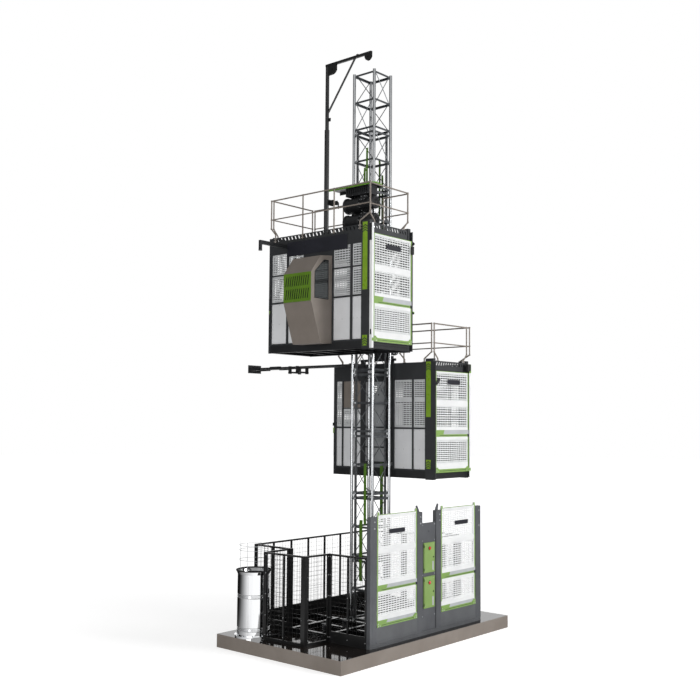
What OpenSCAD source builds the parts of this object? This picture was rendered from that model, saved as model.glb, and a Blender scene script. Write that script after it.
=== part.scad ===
// Twin-cage rack and pinion material hoist: mast, two cages, landing wall, fence and slab.
// Millimetres, +Z up, origin under the slab on the mast axis.
// +X is towards cage 2, -Y is the loading side with the landing gates.

/* [Foundation] */
// length of the slab along the loading side
slab_l = 6400; // [6200:50:7000]
// width of the slab
slab_w = 3800; // [3780:20:4400]
// thickness of the slab
slab_t = 300; // [200:10:400]
// height of the chassis beams on the slab
chassis_h = 150; // [100:10:180]

/* [Mast] */
// spacing of the mast tubes, centre to centre
mast_w = 650; // [650:1:650]
// outer diameter of a mast tube
tube_d = 76; // [76:1:76]
// wall of a mast tube
tube_wall = 4.5; // [3:0.5:8]
// height of one mast section
section_h = 1508; // [1508:1:1508]
// mast sections
sections = 9; // [8:1:10]
// mast sections that carry a rack
rack_sections = 8; // [8:1:8]
// leg of the angle frames
angle_leg = 50; // [40:1:60]
// diameter of the lattice bars
brace_d = 20; // [18:1:30]

/* [Rack and pinion] */
// teeth in one rack section
rack_teeth = 60; // [60:1:60]
// teeth of a pinion
pinion_teeth = 15; // [15:1:15]
// width of the rack and of the pinions
rack_w = 40; // [30:1:40]
// play between the tooth flanks
backlash = 0.6; // [0.3:0.1:1]
// shaft of a pinion
pinion_shaft = 50; // [40:1:60]

/* [Cages] */
// height of the first cage above the slab underside
cage_1_z = 6818; // [550:1:8200]
// height of the second cage above the slab underside
cage_2_z = 3816; // [550:1:8200]
// inner face of a cage from the mast axis
cage_in = 455; // [455:1:470]
// outer face of a cage from the mast axis
cage_out = 1957; // [1900:1:1970]
// half the length of a cage
cage_y = 1565; // [1565:1:1565]
// height of the cage with its parapet
cage_h = 2820; // [2780:10:2900]
// height of the underframe
floor_h = 180; // [150:5:180]
// height of the rail between solid panels and mesh
rail_z = 1210; // [1150:10:1250]
// height of the upper rail on the outer side
rail2_z = 1880; // [1800:10:1950]
// height where the mesh ends and the parapet band starts
band_z = 2430; // [2400:10:2450]
// spacing of the coarse wires that stand for the mesh
mesh_pitch = 200; // [100:5:250]
// thickness of the mesh wires
mesh_wire = 5; // [3:1:8]

/* [Operator cabin] */
// half the width of the cabin
cabin_y = 437; // [400:1:450]
// depth of the cabin from the outer face
cabin_depth = 698; // [600:2:720]
// thickness of the cabin walls
cabin_wall = 12; // [8:1:30]
// bottom of the upright cabin face
cabin_lo = 1075; // [1000:5:1150]
// top of the upright cabin face
cabin_hi = 1746; // [1700:2:1800]

/* [Guard rail] */
// diameter of the guard rail tube
rail_d = 34; // [28:1:42]
// top of the guard rail above the cage bottom
guard_top = 3750; // [3600:10:3800]
// middle of the knee rail above the cage bottom
guard_mid = 3280; // [3200:10:3350]

/* [Drive] */
// height of the lower pinion above the cage bottom
pinion_lo = 3230; // [3200:5:3260]
// height of the upper pinion above the cage bottom
pinion_hi = 3650; // [3630:5:3680]
// height of the safety pinion above the cage bottom
pinion_safe = 2150; // [2100:5:2200]
// diameter of the gear housing cover
gear_d = 400; // [360:5:410]
// diameter of the motor
motor_d = 300; // [260:5:330]
// height of the lower guide rollers above the cage bottom
roller_lo = 330; // [300:5:400]
// height of the upper guide rollers above the cage bottom
roller_hi = 2960; // [2950:5:3000]

/* [Jib] */
// outer diameter of the jib pole
jib_d = 89; // [76:1:95]
// top of the jib pole above the cage bottom
jib_top = 6810; // [6500:10:7000]
// reach of the jib arm from its pole
jib_reach = 1360; // [1200:10:1400]

/* [Landing wall] */
// front face of the wall from the mast axis
wall_y = 1790; // [1790:1:1800]
// depth of the wall posts
wall_t = 100; // [90:1:100]
// top of the posts above the slab
wall_h = 2800; // [2700:10:2900]
// bottom edge of the gates above the slab
gate_lo = 430; // [420:1:440]
// top edge of the gates above the slab
gate_hi = 2850; // [2800:10:2900]
// thickness of a gate
gate_t = 40; // [30:1:44]

/* [Fence] */
// top of the fence above the slab
fence_h = 1940; // [1800:10:2100]
// width of the fence bars
fence_bar = 40; // [30:1:40]
// spacing of the coarse fence wires
fence_pitch = 300; // [150:5:400]

/* [Cable drum] */
// diameter of the drum body
drum_d = 740; // [700:5:760]
// height of the drum above the slab
drum_h = 1500; // [1300:10:1600]
// sheet of the drum
drum_wall = 5; // [3:1:10]

/* [Hidden] */
$fn = 48;
seam = 0.5;
gap = 0.3;
slab_x = -100;
slab_y = -80;
z0 = slab_t;
slot_w = 20;
mast_z = z0 + 60;
mast_c = mast_w / 2;
tube_r = tube_d / 2;
mast_face = mast_c + 5;
frame_zs = [60, 754, 1448];
pitch = section_h / rack_teeth;
pitch_r = pinion_teeth * pitch / (2 * PI);
tooth = pitch / PI;
rack_x = 355;
rack_yc = 133;
rack_back = 185;
pinion_y = pitch_r - rack_yc;
roller_r = 30;
roller_flange = 42;
roller_w = 56;
roller_x = mast_c + tube_r + gap + roller_r;
roller_pin = 20;
fork_t = 8;
col_x = cage_in - 15;
frame_t = 50;
deck_z = floor_h + 5;
ceil_z = 2620;
duct_w = 230;
duct_d = 100;
duct_wall = 4;
guide_w = 64;
guide_d = 70;
door_y = cage_y + 12;
door_t = 42;
door_x0 = cage_in + 27;
door_x1 = cage_out - guide_w - 12;
leaf_bar = 42;
door_z0 = 150;
door_z1 = 2600;
exit_t = 26;
exit_lane_1 = cage_y + 19;
exit_lane_2 = exit_lane_1 + 29;
drive_x = 425;
drive_t = 15;
shaft_gap = 0.5;
motor_x = 660;
grille_t = 10;
jib_x = 1870;
jib_y = -160;
sleeve_d = 114;
sleeve_top = 5180;
gate_x0 = 460;
gate_x1 = 1925;
gate_lane = -wall_y + 5 + gate_t / 2;
post_in = 270;
post_out = 2148;
drum_x = slab_x - slab_l / 2 + 420;
drum_y = 1060;
rail_bend_hi = cage_h + 240;
rail_bend_lo = cage_h + 80;
fence_pts = [[2146, -1689.5], [2177, -627], [2888, -552], [2975, 606], [2153, 615], [2148, 1760]];

// box between two corners
module box(a, b) {
    translate(a) cube(b - a);
}

// round bar between two points
module rod(a, b, d) {
    v = b - a;
    l = norm(v);
    translate(a) rotate([0, acos(v[2] / l), atan2(v[1], v[0])]) cylinder(h = l, d = d);
}

// ball fitting where the tubes of the guard rail meet
module knuckle(p) {
    translate(p) sphere(d = rail_d * 1.42);
}

// outline drawn as [y, z], t thick along +X from x
module along_x(x, t) {
    translate([x, 0, 0]) rotate([90, 0, 90]) linear_extrude(t) children();
}

// outline drawn as [x, z], t thick along +Y from y
module along_y(y, t) {
    translate([0, y + t, 0]) rotate([90, 0, 0]) linear_extrude(t) children();
}

// flat rectangle between two corners
module rect(a, b) {
    translate(a) square(b - a);
}

// flat net: a rectangle with a pattern of square holes
module net(a, b, p) {
    s = b - a;
    nx = max(1, round(s[0] / p));
    ny = max(1, round(s[1] / p));
    px = s[0] / nx;
    py = s[1] / ny;
    difference() {
        rect(a, b);
        for (i = [0 : nx - 1], j = [0 : ny - 1])
            translate(a + [i * px + mesh_wire / 2, j * py + mesh_wire / 2])
                square([px - mesh_wire, py - mesh_wire]);
    }
}

// row of slanted slots
module slots(x0, x1, n, z_lo, z_hi, w, lean) {
    step = (x1 - x0) / n;
    for (i = [0 : n - 1])
        translate([x0 + (i + 0.5) * step, 0])
            polygon([[-w / 2 - lean, z_lo], [w / 2 - lean, z_lo], [w / 2 + lean, z_hi],
                [-w / 2 + lean, z_hi]]);
}

// the cage shell: local x is away from the mast, z is above the cage bottom
module at_cage(n) {
    if (n == 1) translate([0, 0, cage_1_z]) mirror([1, 0, 0]) children();
    else translate([0, 0, cage_2_z]) children();
}

// the drive side: turned half a turn for the first cage
module at_drive(n) {
    if (n == 1) translate([0, 0, cage_1_z]) rotate([0, 0, 180]) children();
    else translate([0, 0, cage_2_z]) children();
}

// foundation and mast

module foundation_slab() {
    color([0.62, 0.58, 0.55])
        translate([slab_x - slab_l / 2, slab_y - slab_w / 2, 0]) cube([slab_l, slab_w, slab_t]);
}

// channel beam along X, open side towards +Y
module beam_x(x0, x1, y, w, h) {
    translate([x0, y, z0]) rotate([90, 0, 90]) linear_extrude(x1 - x0)
        polygon([[0, 0], [w, 0], [w, 8], [8, 8], [8, h - 8], [w, h - 8], [w, h], [0, h]]);
}

// channel beam along Y, open side towards +X
module beam_y(y0, y1, x, w, h) {
    translate([x, y1, z0]) rotate([90, 0, 0]) linear_extrude(y1 - y0)
        polygon([[0, 0], [w, 0], [w, 8], [8, 8], [8, h - 8], [w, h - 8], [w, h], [0, h]]);
}

module base_frame() {
    reach = gate_x1 + 170;
    front = wall_y - 185;
    back = wall_y - 95;
    color([0.08, 0.08, 0.09]) {
        difference() {
            box([-mast_c - 75, -mast_c - 75, z0], [mast_c + 75, mast_c + 75, mast_z]);
            box([-mast_c + 75, -mast_c + 75, z0 - 1], [mast_c - 75, mast_c - 75, mast_z + 1]);
        }
        for (s = [-1, 1]) {
            for (y = [-560, 480]) beam_x(s > 0 ? 560 : -reach, s > 0 ? reach : -560, y, 80, chassis_h);
            beam_y(-front, back, s * 520 - 40, 80, chassis_h - 30);
            beam_y(-front, back, s * 1206 - 40, 80, chassis_h - 30);
            beam_y(-front, back, s * (reach - 80) - 40, 80, chassis_h - 30);
            box([s * 440 - 40, -430, z0], [s * 440 + 40, -390, mast_z]);
            box([s * 440 - 40, 390, z0], [s * 440 + 40, 430, mast_z]);
        }
        beam_x(-reach, reach, -front - 60, 60, chassis_h - 60);
        beam_x(-reach, reach, back, 60, chassis_h - 30);
    }
}

// one unbroken coil spring of square-cut tube sections
module coil(r, wire, h, turns) {
    rings = 8 * turns;
    sides = 6;
    climb = (h - wire) / turns;
    lean = atan(climb / (2 * PI * r));
    pts = [for (i = [0 : rings], j = [0 : sides - 1])
        let (t = i * 45, a = j * 60 + 30)
        [(r + wire / 2 * cos(a)) * cos(t) - wire / 2 * sin(a) * sin(lean) * sin(t),
         (r + wire / 2 * cos(a)) * sin(t) + wire / 2 * sin(a) * sin(lean) * cos(t),
         wire / 2 + climb * i / 8 - wire / 2 * sin(a) * cos(lean)]];
    skin = [for (i = [0 : rings - 1], j = [0 : sides - 1], k = [0, 1])
        let (a = i * sides + j, b = i * sides + (j + 1) % sides)
        k == 0 ? [a, a + sides, b] : [b, a + sides, b + sides]];
    caps = [[for (j = [0 : sides - 1]) j], [for (j = [sides - 1 : -1 : 0]) rings * sides + j]];
    polyhedron(points = pts, faces = concat(skin, caps), convexity = 10);
}

spring_r = 70;
spring_wire = 20;
spring_h = 205;
spring_turns = 4;
echo(least_gap_in_spring = (spring_h - spring_wire) / spring_turns - spring_wire);

module buffer_springs() {
    color([0.55, 0.56, 0.58])
        for (x = [-1600, -900, 900, 1600]) translate([x, 0, z0]) {
            cylinder(h = 12, d = 220);
            translate([0, 0, 12 + gap]) coil(spring_r, spring_wire, spring_h, spring_turns);
            translate([0, 0, 12 - gap]) cylinder(h = spring_h - 30, d = 2 * spring_r - spring_wire - 20);
            translate([0, 0, 12 + spring_h + 2 * gap]) cylinder(h = 10, d = 180);
        }
}

// square frame of angle bar round the four tubes
module angle_frame(z) {
    translate([0, 0, z])
        for (r = [0 : 3]) rotate([0, 0, r * 90])
            translate([mast_face, mast_c, 0]) rotate([90, 0, 0]) linear_extrude(mast_w)
                polygon([[0, -angle_leg / 2], [0, angle_leg / 2], [-angle_leg, angle_leg / 2],
                    [-angle_leg, angle_leg / 2 - 5], [-5, angle_leg / 2 - 5], [-5, -angle_leg / 2]]);
}

module mast_section() {
    zl = frame_zs[0];
    zm = frame_zs[1];
    zh = frame_zs[2];
    shelf = angle_leg / 2 - 3;
    brace_x = mast_c - 3 - brace_d / 2;
    brace_y = mast_c - tube_r - 15;
    difference() {
        union() {
            for (x = [-mast_c, mast_c], y = [-mast_c, mast_c])
                translate([x, y, 0]) cylinder(h = section_h - seam, r = tube_r);
            for (z = frame_zs) angle_frame(z);
            for (r = [0 : 3]) rotate([0, 0, r * 90]) {
                rod([brace_x, -brace_y, zl + shelf], [brace_x, brace_y, zm + shelf], brace_d);
                rod([brace_x, brace_y, zm + shelf], [brace_x, -brace_y, zh + shelf], brace_d);
            }
        }
        for (x = [-mast_c, mast_c], y = [-mast_c, mast_c])
            translate([x, y, -1]) cylinder(h = section_h + 2, r = tube_r - tube_wall);
    }
}

module mast_sections() {
    color([0.62, 0.64, 0.66])
        for (i = [0 : sections - 1]) translate([0, 0, mast_z + i * section_h]) mast_section();
}

// outline of one rack section as [y, z], teeth towards +Y
module rack_outline() {
    t = tan(20);
    half = pitch / 4;
    pts = [for (i = [0 : rack_teeth - 1], k = [0 : 3])
        let (c = (i + 0.5) * pitch, dy = (k == 0 || k == 3) ? -1.25 * tooth : tooth, s = k < 2 ? -1 : 1)
        [-rack_yc + dy, c + s * (half - dy * t)]];
    polygon(concat([[-rack_back, 0], [-rack_yc - 1.25 * tooth, 0]], pts,
        [[-rack_yc - 1.25 * tooth, section_h - seam], [-rack_back, section_h - seam]]));
}

module rack() {
    for (i = [0 : rack_sections - 1]) translate([0, 0, mast_z + i * section_h]) {
        along_x(rack_x, rack_w) rack_outline();
        for (z = frame_zs)
            box([mast_face, -rack_back, z - 22], [rack_x, -rack_back + 38, z + 22]);
    }
}

module rack_1() {
    color([0.42, 0.43, 0.45]) rotate([0, 0, 180]) rack();
}

module rack_2() {
    color([0.42, 0.43, 0.45]) rack();
}

// switch cam on the mast: an upright plate with its ends bent back to the frames
module cam(y, z_top, len, w) {
    x = mast_face + 12;
    z_lo = z_top - len;
    translate([0, y - w / 2, 0]) {
        translate([0, w, 0]) rotate([90, 0, 0]) linear_extrude(w)
            polygon([[x - 11, z_lo], [x - 6, z_lo], [x + 5, z_lo + 90], [x + 5, z_top - 90], [x - 6, z_top],
                [x - 11, z_top], [x, z_top - 90], [x, z_lo + 90]]);
        for (i = [0 : sections - 1], f = frame_zs)
            let (z = mast_z + i * section_h + f)
            if (z > z_lo + 110 && z < z_top - 110)
                box([mast_face, w / 2 - 20, z - 20], [x, w / 2 + 20, z + 20]);
    }
}

module limit_cams() {
    color([0.36, 0.6, 0.12]) {
        cam(35, 11826, 1460, 60);
        cam(-55, 11416, 1460, 60);
        cam(-70, 4167, 1460, 100);
        mirror([1, 0, 0]) {
            cam(-120, 11967, 1460, 60);
            cam(-45, 11480, 1460, 60);
            cam(-115, 4164, 1460, 80);
            cam(10, 2799, 1460, 100);
        }
    }
}

module wall_tie() {
    z = z0 + 6290;
    y0 = mast_c + tube_r + 1;
    color([0.1, 0.1, 0.11]) {
        difference() {
            union() {
                box([-mast_c - 18, y0, z - 30], [mast_c + 18, y0 + 60, z + 30]);
                for (x = [-mast_c + 7, mast_c - 7]) box([x - 25, y0 - 14, z - 28], [x + 25, y0, z + 28]);
            }
            for (s = [-1, 1]) translate([s * mast_c, mast_c, z - 40]) cylinder(h = 80, r = tube_r + gap);
        }
        for (s = [-1, 1]) {
            rod([s * 180, y0 + 60, z], [s * 180, 3800, z], 50);
            box([s * 180 - 40, 3000, z - 40], [s * 180 + 40, 3360, z + 40]);
            box([s * 180 - 34, 2330, z - 170], [s * 180 + 34, 2390, z + 34]);
            box([s * 180 - 34, 2600, z - 170], [s * 180 + 34, 2660, z + 34]);
            box([s * 180 - 45, 3780, z - 45], [s * 180 + 45, 4170, z + 45]);
        }
        rod([-230, 2360, z - 130], [230, 2360, z - 130], 48);
        rod([-230, 2630, z - 130], [230, 2630, z - 130], 48);
        rod([-230, 3180, z], [230, 3180, z], 48);
        box([-240, 4170, z - 110], [240, 4182, z + 110]);
    }
}

// drum for the trailing cable and its wire guides

module cable_drum() {
    r = drum_d / 2;
    b = 9;
    zs = [190, 920];
    color([0.75, 0.76, 0.78]) translate([drum_x, drum_y, z0])
        rotate_extrude($fn = 96)
            polygon(concat([[0, 0], [r + 55, 0], [r + 55, 50], [r, 50]],
                [for (z = zs, k = [-1 : 1], p = [[0, -14], [b, -4], [b, 4], [0, 14]])
                    [r + p[0], z + k * 30 + p[1]]],
                [[r, drum_h - 95], [r + 25, drum_h - 30], [r + 25, drum_h], [r + 20, drum_h],
                 [r + 20, drum_h - 28], [r - drum_wall, drum_h - 95], [r - drum_wall, 12], [0, 12]]));
}

module cable_guides() {
    r = 345;
    color([0.8, 0.81, 0.83]) translate([drum_x, drum_y, z0]) {
        for (a = [20 : 90 : 290]) rotate([0, 0, a]) {
            translate([r, 0, drum_h - 160]) cylinder(h = 790, d = 10, $fn = 16);
            box([r + 4, -12, drum_h - 150], [drum_d / 2 - drum_wall - gap, 12, drum_h - 110]);
        }
        for (z = [220, 440, 550])
            translate([0, 0, drum_h + z]) rotate_extrude($fn = 64) translate([r - 6, 0])
                circle(d = 8, $fn = 16);
    }
}

// landing wall

// upright post with a slot for the gate rollers, seen from above
module post_outline(x0, x1, slot_hi) {
    w = 6;
    difference() {
        rect([x0, -wall_y], [x1, -wall_y + wall_t]);
        rect([x0 + w, -wall_y + w], [x1 - w, -wall_y + wall_t - w]);
        if (slot_hi) rect([x1 - w - 1, gate_lane - slot_w / 2], [x1 + 1, gate_lane + slot_w / 2]);
        else rect([x0 - 1, gate_lane - slot_w / 2], [x0 + w + 1, gate_lane + slot_w / 2]);
    }
}

module landing_posts() {
    color([0.26, 0.27, 0.29]) {
        for (s = [0, 1]) mirror([s, 0, 0]) {
            translate([0, 0, z0 + 95 + gap]) linear_extrude(wall_h - 95)
                post_outline(gate_x1, post_out, false);
            translate([0, 0, z0 + 95 + gap]) linear_extrude(wall_h - 95) post_outline(post_in, gate_x0, true);
            box([post_in + 6, -wall_y - 4, z0 + wall_h + seam],
                [gate_x0, -wall_y + wall_t, z0 + wall_h + 12]);
            box([gate_x1, -wall_y - 4, z0 + wall_h + seam],
                [post_out - 6, -wall_y + wall_t, z0 + wall_h + 12]);
            along_y(-wall_y + 60, 12)
                translate([post_in, z0 + wall_h])
                    polygon([[40, 12 + seam], [150, 12 + seam], [175, 150], [120, 165], [60, 70]]);
        }
        difference() {
            box([-post_in + seam, -wall_y + 20, z0 + 96], [post_in - seam, -wall_y + 60, z0 + 2545]);
            for (z = [1780, 2010]) box([-12, -wall_y + 10, z0 + z + 560], [12, -wall_y + 70, z0 + z + 575]);
        }
    }
}

// green covers of the control boxes with a round lamp each
module control_boxes() {
    color([0.42, 0.68, 0.14])
        for (z = [[1406, 2091, 1960], [600, 1316, 1170]]) {
            difference() {
                box([-210, -wall_y - 6, z0 + z[0]], [210, -wall_y + 20 - seam, z0 + z[1]]);
                for (x = [-196, 182]) box([x, -wall_y - 7, z0 + z[0] + 14],
                    [x + 14, -wall_y, z0 + z[1] - 14]);
            }
            translate([0, -wall_y - 6 - seam, z0 + z[2]]) rotate([90, 0, 0]) cylinder(h = 16, d = 70);
        }
}

module landing_sills() {
    color([0.2, 0.21, 0.22]) {
        along_x(-post_out, 2 * post_out)
            polygon([[-wall_y, z0], [-wall_y + wall_t, z0], [-wall_y + wall_t, z0 + 95], [-wall_y, z0 + 95],
                [-wall_y, z0 + 78], [-wall_y + 8, z0 + 70], [-wall_y + 8, z0 + 58], [-wall_y, z0 + 50],
                [-wall_y, z0 + 42], [-wall_y + 8, z0 + 36], [-wall_y + 8, z0 + 24], [-wall_y, z0 + 18]]);
        for (s = [0, 1]) mirror([s, 0, 0]) {
            difference() {
                box([gate_x0 + seam, -wall_y + 2, z0 + 95],
                    [gate_x1 - seam, -wall_y + wall_t, z0 + gate_lo - gap]);
                box([gate_x0 + 20, -wall_y + 12, z0 + 96],
                    [gate_x1 - 20, -wall_y + wall_t + 1, z0 + gate_lo - 14]);
            }
            box([gate_x0 + seam, -wall_y - 6, z0 + 95 + seam],
                [gate_x1 - seam, -wall_y + 2 - seam, z0 + 130]);
        }
    }
}

// openings of a sliding leaf between its bands, grown by the wall of its tubes
module leaf_openings(x0, x1, zl, zh, foot, bands, grow) {
    last = len(bands) - 1;
    f = leaf_bar - grow;
    rect([x0 + f, zl + foot - grow], [x1 - f, bands[0][0] + grow]);
    for (i = [0 : last])
        rect([x0 + f, bands[i][1] - grow], [x1 - f, i < last ? bands[i + 1][0] + grow : zh - f]);
}

// sliding leaf in the XZ plane from y to y + t: channel frame, cross bands, net and guide shoes
module leaf(x0, x1, zl, zh, y, t, foot, bands, shoe, shoe_zs) {
    last = len(bands) - 1;
    w = 4;
    difference() {
        along_y(y, t) difference() {
            rect([x0, zl], [x1, zh]);
            leaf_openings(x0, x1, zl, zh, foot, bands, 0);
        }
        along_y(y < 0 ? y + w : y - 1, t - w + 1) difference() {
            rect([x0 + w, zl + w], [x1 - w, zh - w]);
            leaf_openings(x0, x1, zl, zh, foot, bands, w);
        }
    }
    along_y(y + t / 2 - mesh_wire / 2, mesh_wire) {
        net([x0 + leaf_bar - w / 2, zl + foot - w / 2], [x1 - leaf_bar + w / 2, bands[0][0] + w / 2],
            mesh_pitch);
        for (i = [0 : last])
            net([x0 + leaf_bar - w / 2, bands[i][1] - w / 2],
                [x1 - leaf_bar + w / 2, (i < last ? bands[i + 1][0] : zh - leaf_bar) + w / 2], mesh_pitch);
    }
    for (x = [x0, x1], z = shoe_zs) {
        translate([x, y + t / 2, z]) rotate([90, 0, 0])
            cylinder(h = slot_w - 2 * gap, d = shoe, center = true);
        box([x - (x == x0 ? 0 : 30), y + t / 2 - 8, z - 16], [x + (x == x0 ? 30 : 0), y + t / 2 + 8, z + 16]);
    }
}

module landing_gate() {
    zl = z0 + gate_lo;
    zh = z0 + gate_hi;
    leaf(gate_x0 + 14, gate_x1 - 14, zl, zh, -wall_y + 5, gate_t, 227,
        [[z0 + 1143, z0 + 1406], [z0 + 2018, z0 + 2105]], 60, [zl + 60, zl + 320]);
    for (x = [gate_x0 + 20, gate_x1 - 80]) box([x, -wall_y + 5, zh - seam], [x + 60, -wall_y + 35, zh + 55]);
}

module landing_gate_1() {
    color([0.9, 0.91, 0.91]) mirror([1, 0, 0]) landing_gate();
}

module landing_gate_2() {
    color([0.9, 0.91, 0.91]) landing_gate();
}

// fence

// flat fence panel between two plan points
module fence_panel(a, b, posts, skirt) {
    v = b - a;
    l = norm(v);
    f = fence_bar;
    step = (l - f) / posts;
    translate([a[0], a[1], z0]) rotate([0, 0, atan2(v[1], v[0])]) {
        along_y(-f / 2, f) difference() {
            rect([0, 0], [l, fence_h]);
            for (i = [0 : posts - 1]) rect([i * step + f, skirt], [(i + 1) * step, fence_h - f]);
        }
        along_y(-mesh_wire / 2, mesh_wire)
            for (i = [0 : posts - 1])
                net([i * step + f - 3, skirt - 3], [(i + 1) * step + 3, fence_h - f + 3], fence_pitch);
    }
}

module fence() {
    p = fence_pts;
    color([0.06, 0.06, 0.07]) {
        for (s = [0, 1]) mirror([s, 0, 0]) {
            fence_panel(p[1] + [0, -24], p[0], 2, 250);
            fence_panel(p[1] + [24, 0], p[2] - [52, 6], 1, 60);
            fence_panel(p[2] + [5, 52], p[3] - [0, 24], 2, 60);
            fence_panel(p[3] - [24, 0], p[4] + [52, 0], 1, 60);
            fence_panel(p[4] + [0, 52], p[5], 2, 250);
            for (i = [1 : 4])
                let (w = ((i == 2 || i == 4) ? 50 : 22) - seam)
                translate([p[i][0] - w, p[i][1] - w, z0]) cube([2 * w, 2 * w, fence_h]);
        }
        fence_panel([-2168, 1785], [2168, 1785], 7, 330);
    }
}

// cage shell

// corners of the cage that the two box posts fill
module duct_space(lo, hi, c) {
    for (x = [cage_in - c, cage_out - duct_d - c])
        box([x, -cage_y - c, lo], [x + duct_d + 2 * c, -cage_y + duct_w + c, hi]);
}

module cage_floor() {
    lip = 50;
    t = 8;
    h = floor_h;
    color([0.13, 0.14, 0.15]) difference() {
        union() {
            box([cage_in + frame_t + seam, -cage_y + 60, h - 1],
                [cage_out - frame_t - seam, cage_y - 60, deck_z]);
            along_y(-cage_y, 2 * cage_y) {
                polygon([[cage_out, 0], [cage_out, h], [cage_out - lip, h], [cage_out - lip, h - t],
                    [cage_out - t, h - t], [cage_out - t, t], [cage_out - lip, t], [cage_out - lip, 0]]);
                polygon([[cage_in, 0], [cage_in, h], [cage_in + lip, h], [cage_in + lip, h - t],
                    [cage_in + t, h - t], [cage_in + t, t], [cage_in + lip, t], [cage_in + lip, 0]]);
            }
            for (i = [-2 : 2]) {
                box([cage_in + t, i * 520 - 5, 30], [cage_out - t, i * 520 + 5, h]);
                box([cage_in + t, i * 520 - 30, 30], [cage_out - t, i * 520 + 30, 38]);
            }
            for (x = [cage_in + 480, cage_out - 480]) box([x - 4, -cage_y + 50, 60], [x + 4, cage_y - 50, h]);
            for (r = [0, 1]) mirror([0, r, 0]) along_x(cage_in, cage_out - cage_in)
                polygon([[-cage_y, 0], [-cage_y + 60, 0], [-cage_y + 60, 8], [-cage_y + 8, 8],
                    [-cage_y + 8, h - 8], [-cage_y + 60, h - 8], [-cage_y + 60, h], [-cage_y, h], [-cage_y, 150],
                    [-cage_y + 5, 144], [-cage_y + 5, 132], [-cage_y, 126],
                    [-cage_y, 86], [-cage_y + 5, 80], [-cage_y + 5, 68], [-cage_y, 62]]);
        }
        duct_space(-1, h + 60, seam);
    }
}

// bays as pairs of plan limits, rows as pairs of heights
out_front = [[-cage_y + duct_w + 15, -1050], [-990, -cabin_y - 40]];
out_rear = [[cabin_y + 40, 980], [1040, cage_y - 20]];
in_cols_2 = [[-cage_y + duct_w + 15, -965], [-925, -372], [712, 1312], [1352, cage_y - 20]];
in_cols_1 = [[-cage_y + duct_w + 15, -712], [372, 925], [965, cage_y - 20]];
out_rows = [[floor_h + 40, rail_z - 20], [rail_z + 20, rail2_z - 15], [rail2_z + 15, band_z - 30]];
in_rows = [[floor_h + 40, rail_z - 20], [rail_z + 20, band_z - 30]];

module bays(cols, rows, grow) {
    for (c = cols, r = rows) rect([c[0] - grow, r[0] - grow], [c[1] + grow, r[1] + grow]);
}

// flat grid of channel posts in the YZ plane, hollow on the side towards the cage
module channel_grid(x, t, a, b, cols, rows, hollow_low) {
    w = 4;
    difference() {
        along_x(x, t) difference() {
            rect(a, b);
            bays(cols, rows, 0);
        }
        along_x(hollow_low ? x - 1 : x + w, t - w + 1) difference() {
            rect(a + [w, w], b - [w, w]);
            bays(cols, rows, w);
        }
    }
}

// upright guide of a sliding door, seen from above, with a slot for each lane and a web between lanes
module guide_outline(x0, x1, lanes, slot_hi) {
    w = 4;
    ya = -cage_y - guide_d;
    yb = -cage_y - seam;
    difference() {
        rect([x0, ya], [x1, yb]);
        rect([x0 + w, ya + w], [x1 - w, yb - w]);
        for (l = lanes)
            rect([slot_hi ? x1 - w - 1 : x0 - 1, l - slot_w / 2],
                [slot_hi ? x1 + 1 : x0 + w + 1, l + slot_w / 2]);
    }
    for (i = [1 : 1 : len(lanes) - 1])
        let (m = (lanes[i - 1] + lanes[i]) / 2) rect([x0, m - w / 2], [x1, m + w / 2]);
}

module door_guides() {
    for (r = [0, 1]) mirror([0, r, 0]) linear_extrude(cage_h) {
        lanes = r == 0 ? [-door_y - door_t / 2] : [-exit_lane_1, -exit_lane_2];
        guide_outline(cage_out - guide_w, cage_out, lanes, false);
        guide_outline(cage_in, cage_in + 21, lanes, true);
    }
}

module outer_frame(n) {
    z = floor_h + seam;
    color([0.17, 0.18, 0.19]) at_cage(n) {
        channel_grid(cage_out - frame_t, frame_t, [-cage_y + duct_w + seam, z],
            [-cabin_y - seam, band_z - seam],
            out_front, out_rows, true);
        channel_grid(cage_out - frame_t, frame_t, [cabin_y + seam, z], [cage_y, band_z - seam],
            out_rear, out_rows, true);
        box([cage_out - 8, -cabin_y + seam, 2192], [cage_out, cabin_y - seam, band_z - seam]);
        along_x(cage_out - 8, 8) difference() {
            rect([-cage_y + duct_w + seam, band_z], [cage_y, cage_h]);
            slots(-cage_y + duct_w + 60, cage_y - 60, 24, cage_h - 100, cage_h - 25, 36, 16);
        }
        for (z = [band_z, cage_h - 8])
            box([cage_out - 25, -cage_y + duct_w + seam, z], [cage_out - 7, cage_y, z + 8]);
        box([cage_out + seam, -910, 2310], [cage_out + 10, 1020, 2660]);
        for (x = [cage_in, cage_out - duct_d]) difference() {
            box([x, -cage_y, -20], [x + duct_d, -cage_y + duct_w, 2900]);
            box([x + duct_wall, -cage_y + duct_wall, -21],
                [x + duct_d - duct_wall, -cage_y + duct_w - duct_wall, 2901]);
        }
        door_guides();
        box([cage_out + seam, cage_y + 10, 1040], [cage_out + 22, cage_y + 50, 1340]);
        if (n == 1) cable_arm();
    }
}

// arm that leads the trailing cable from the first cage out over the drum
module cable_arm() {
    y = drum_y;
    x1 = -drum_x - 30;
    z = 2560;
    w = 30;
    box([cage_out + seam, y - w - 5, z - 60], [cage_out + 10, y + w + 5, z + 60]);
    box([cage_out + 9, y - w, z - 45], [x1, y + w, z + 45]);
    box([x1 - 2 * w, y - w, z - 190], [x1, y + w, z]);
    translate([x1 - w, y, z - 202]) difference() {
        cylinder(h = 24, d = 90);
        translate([0, 0, -1]) cylinder(h = 13, d = 56);
    }
}

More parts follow.
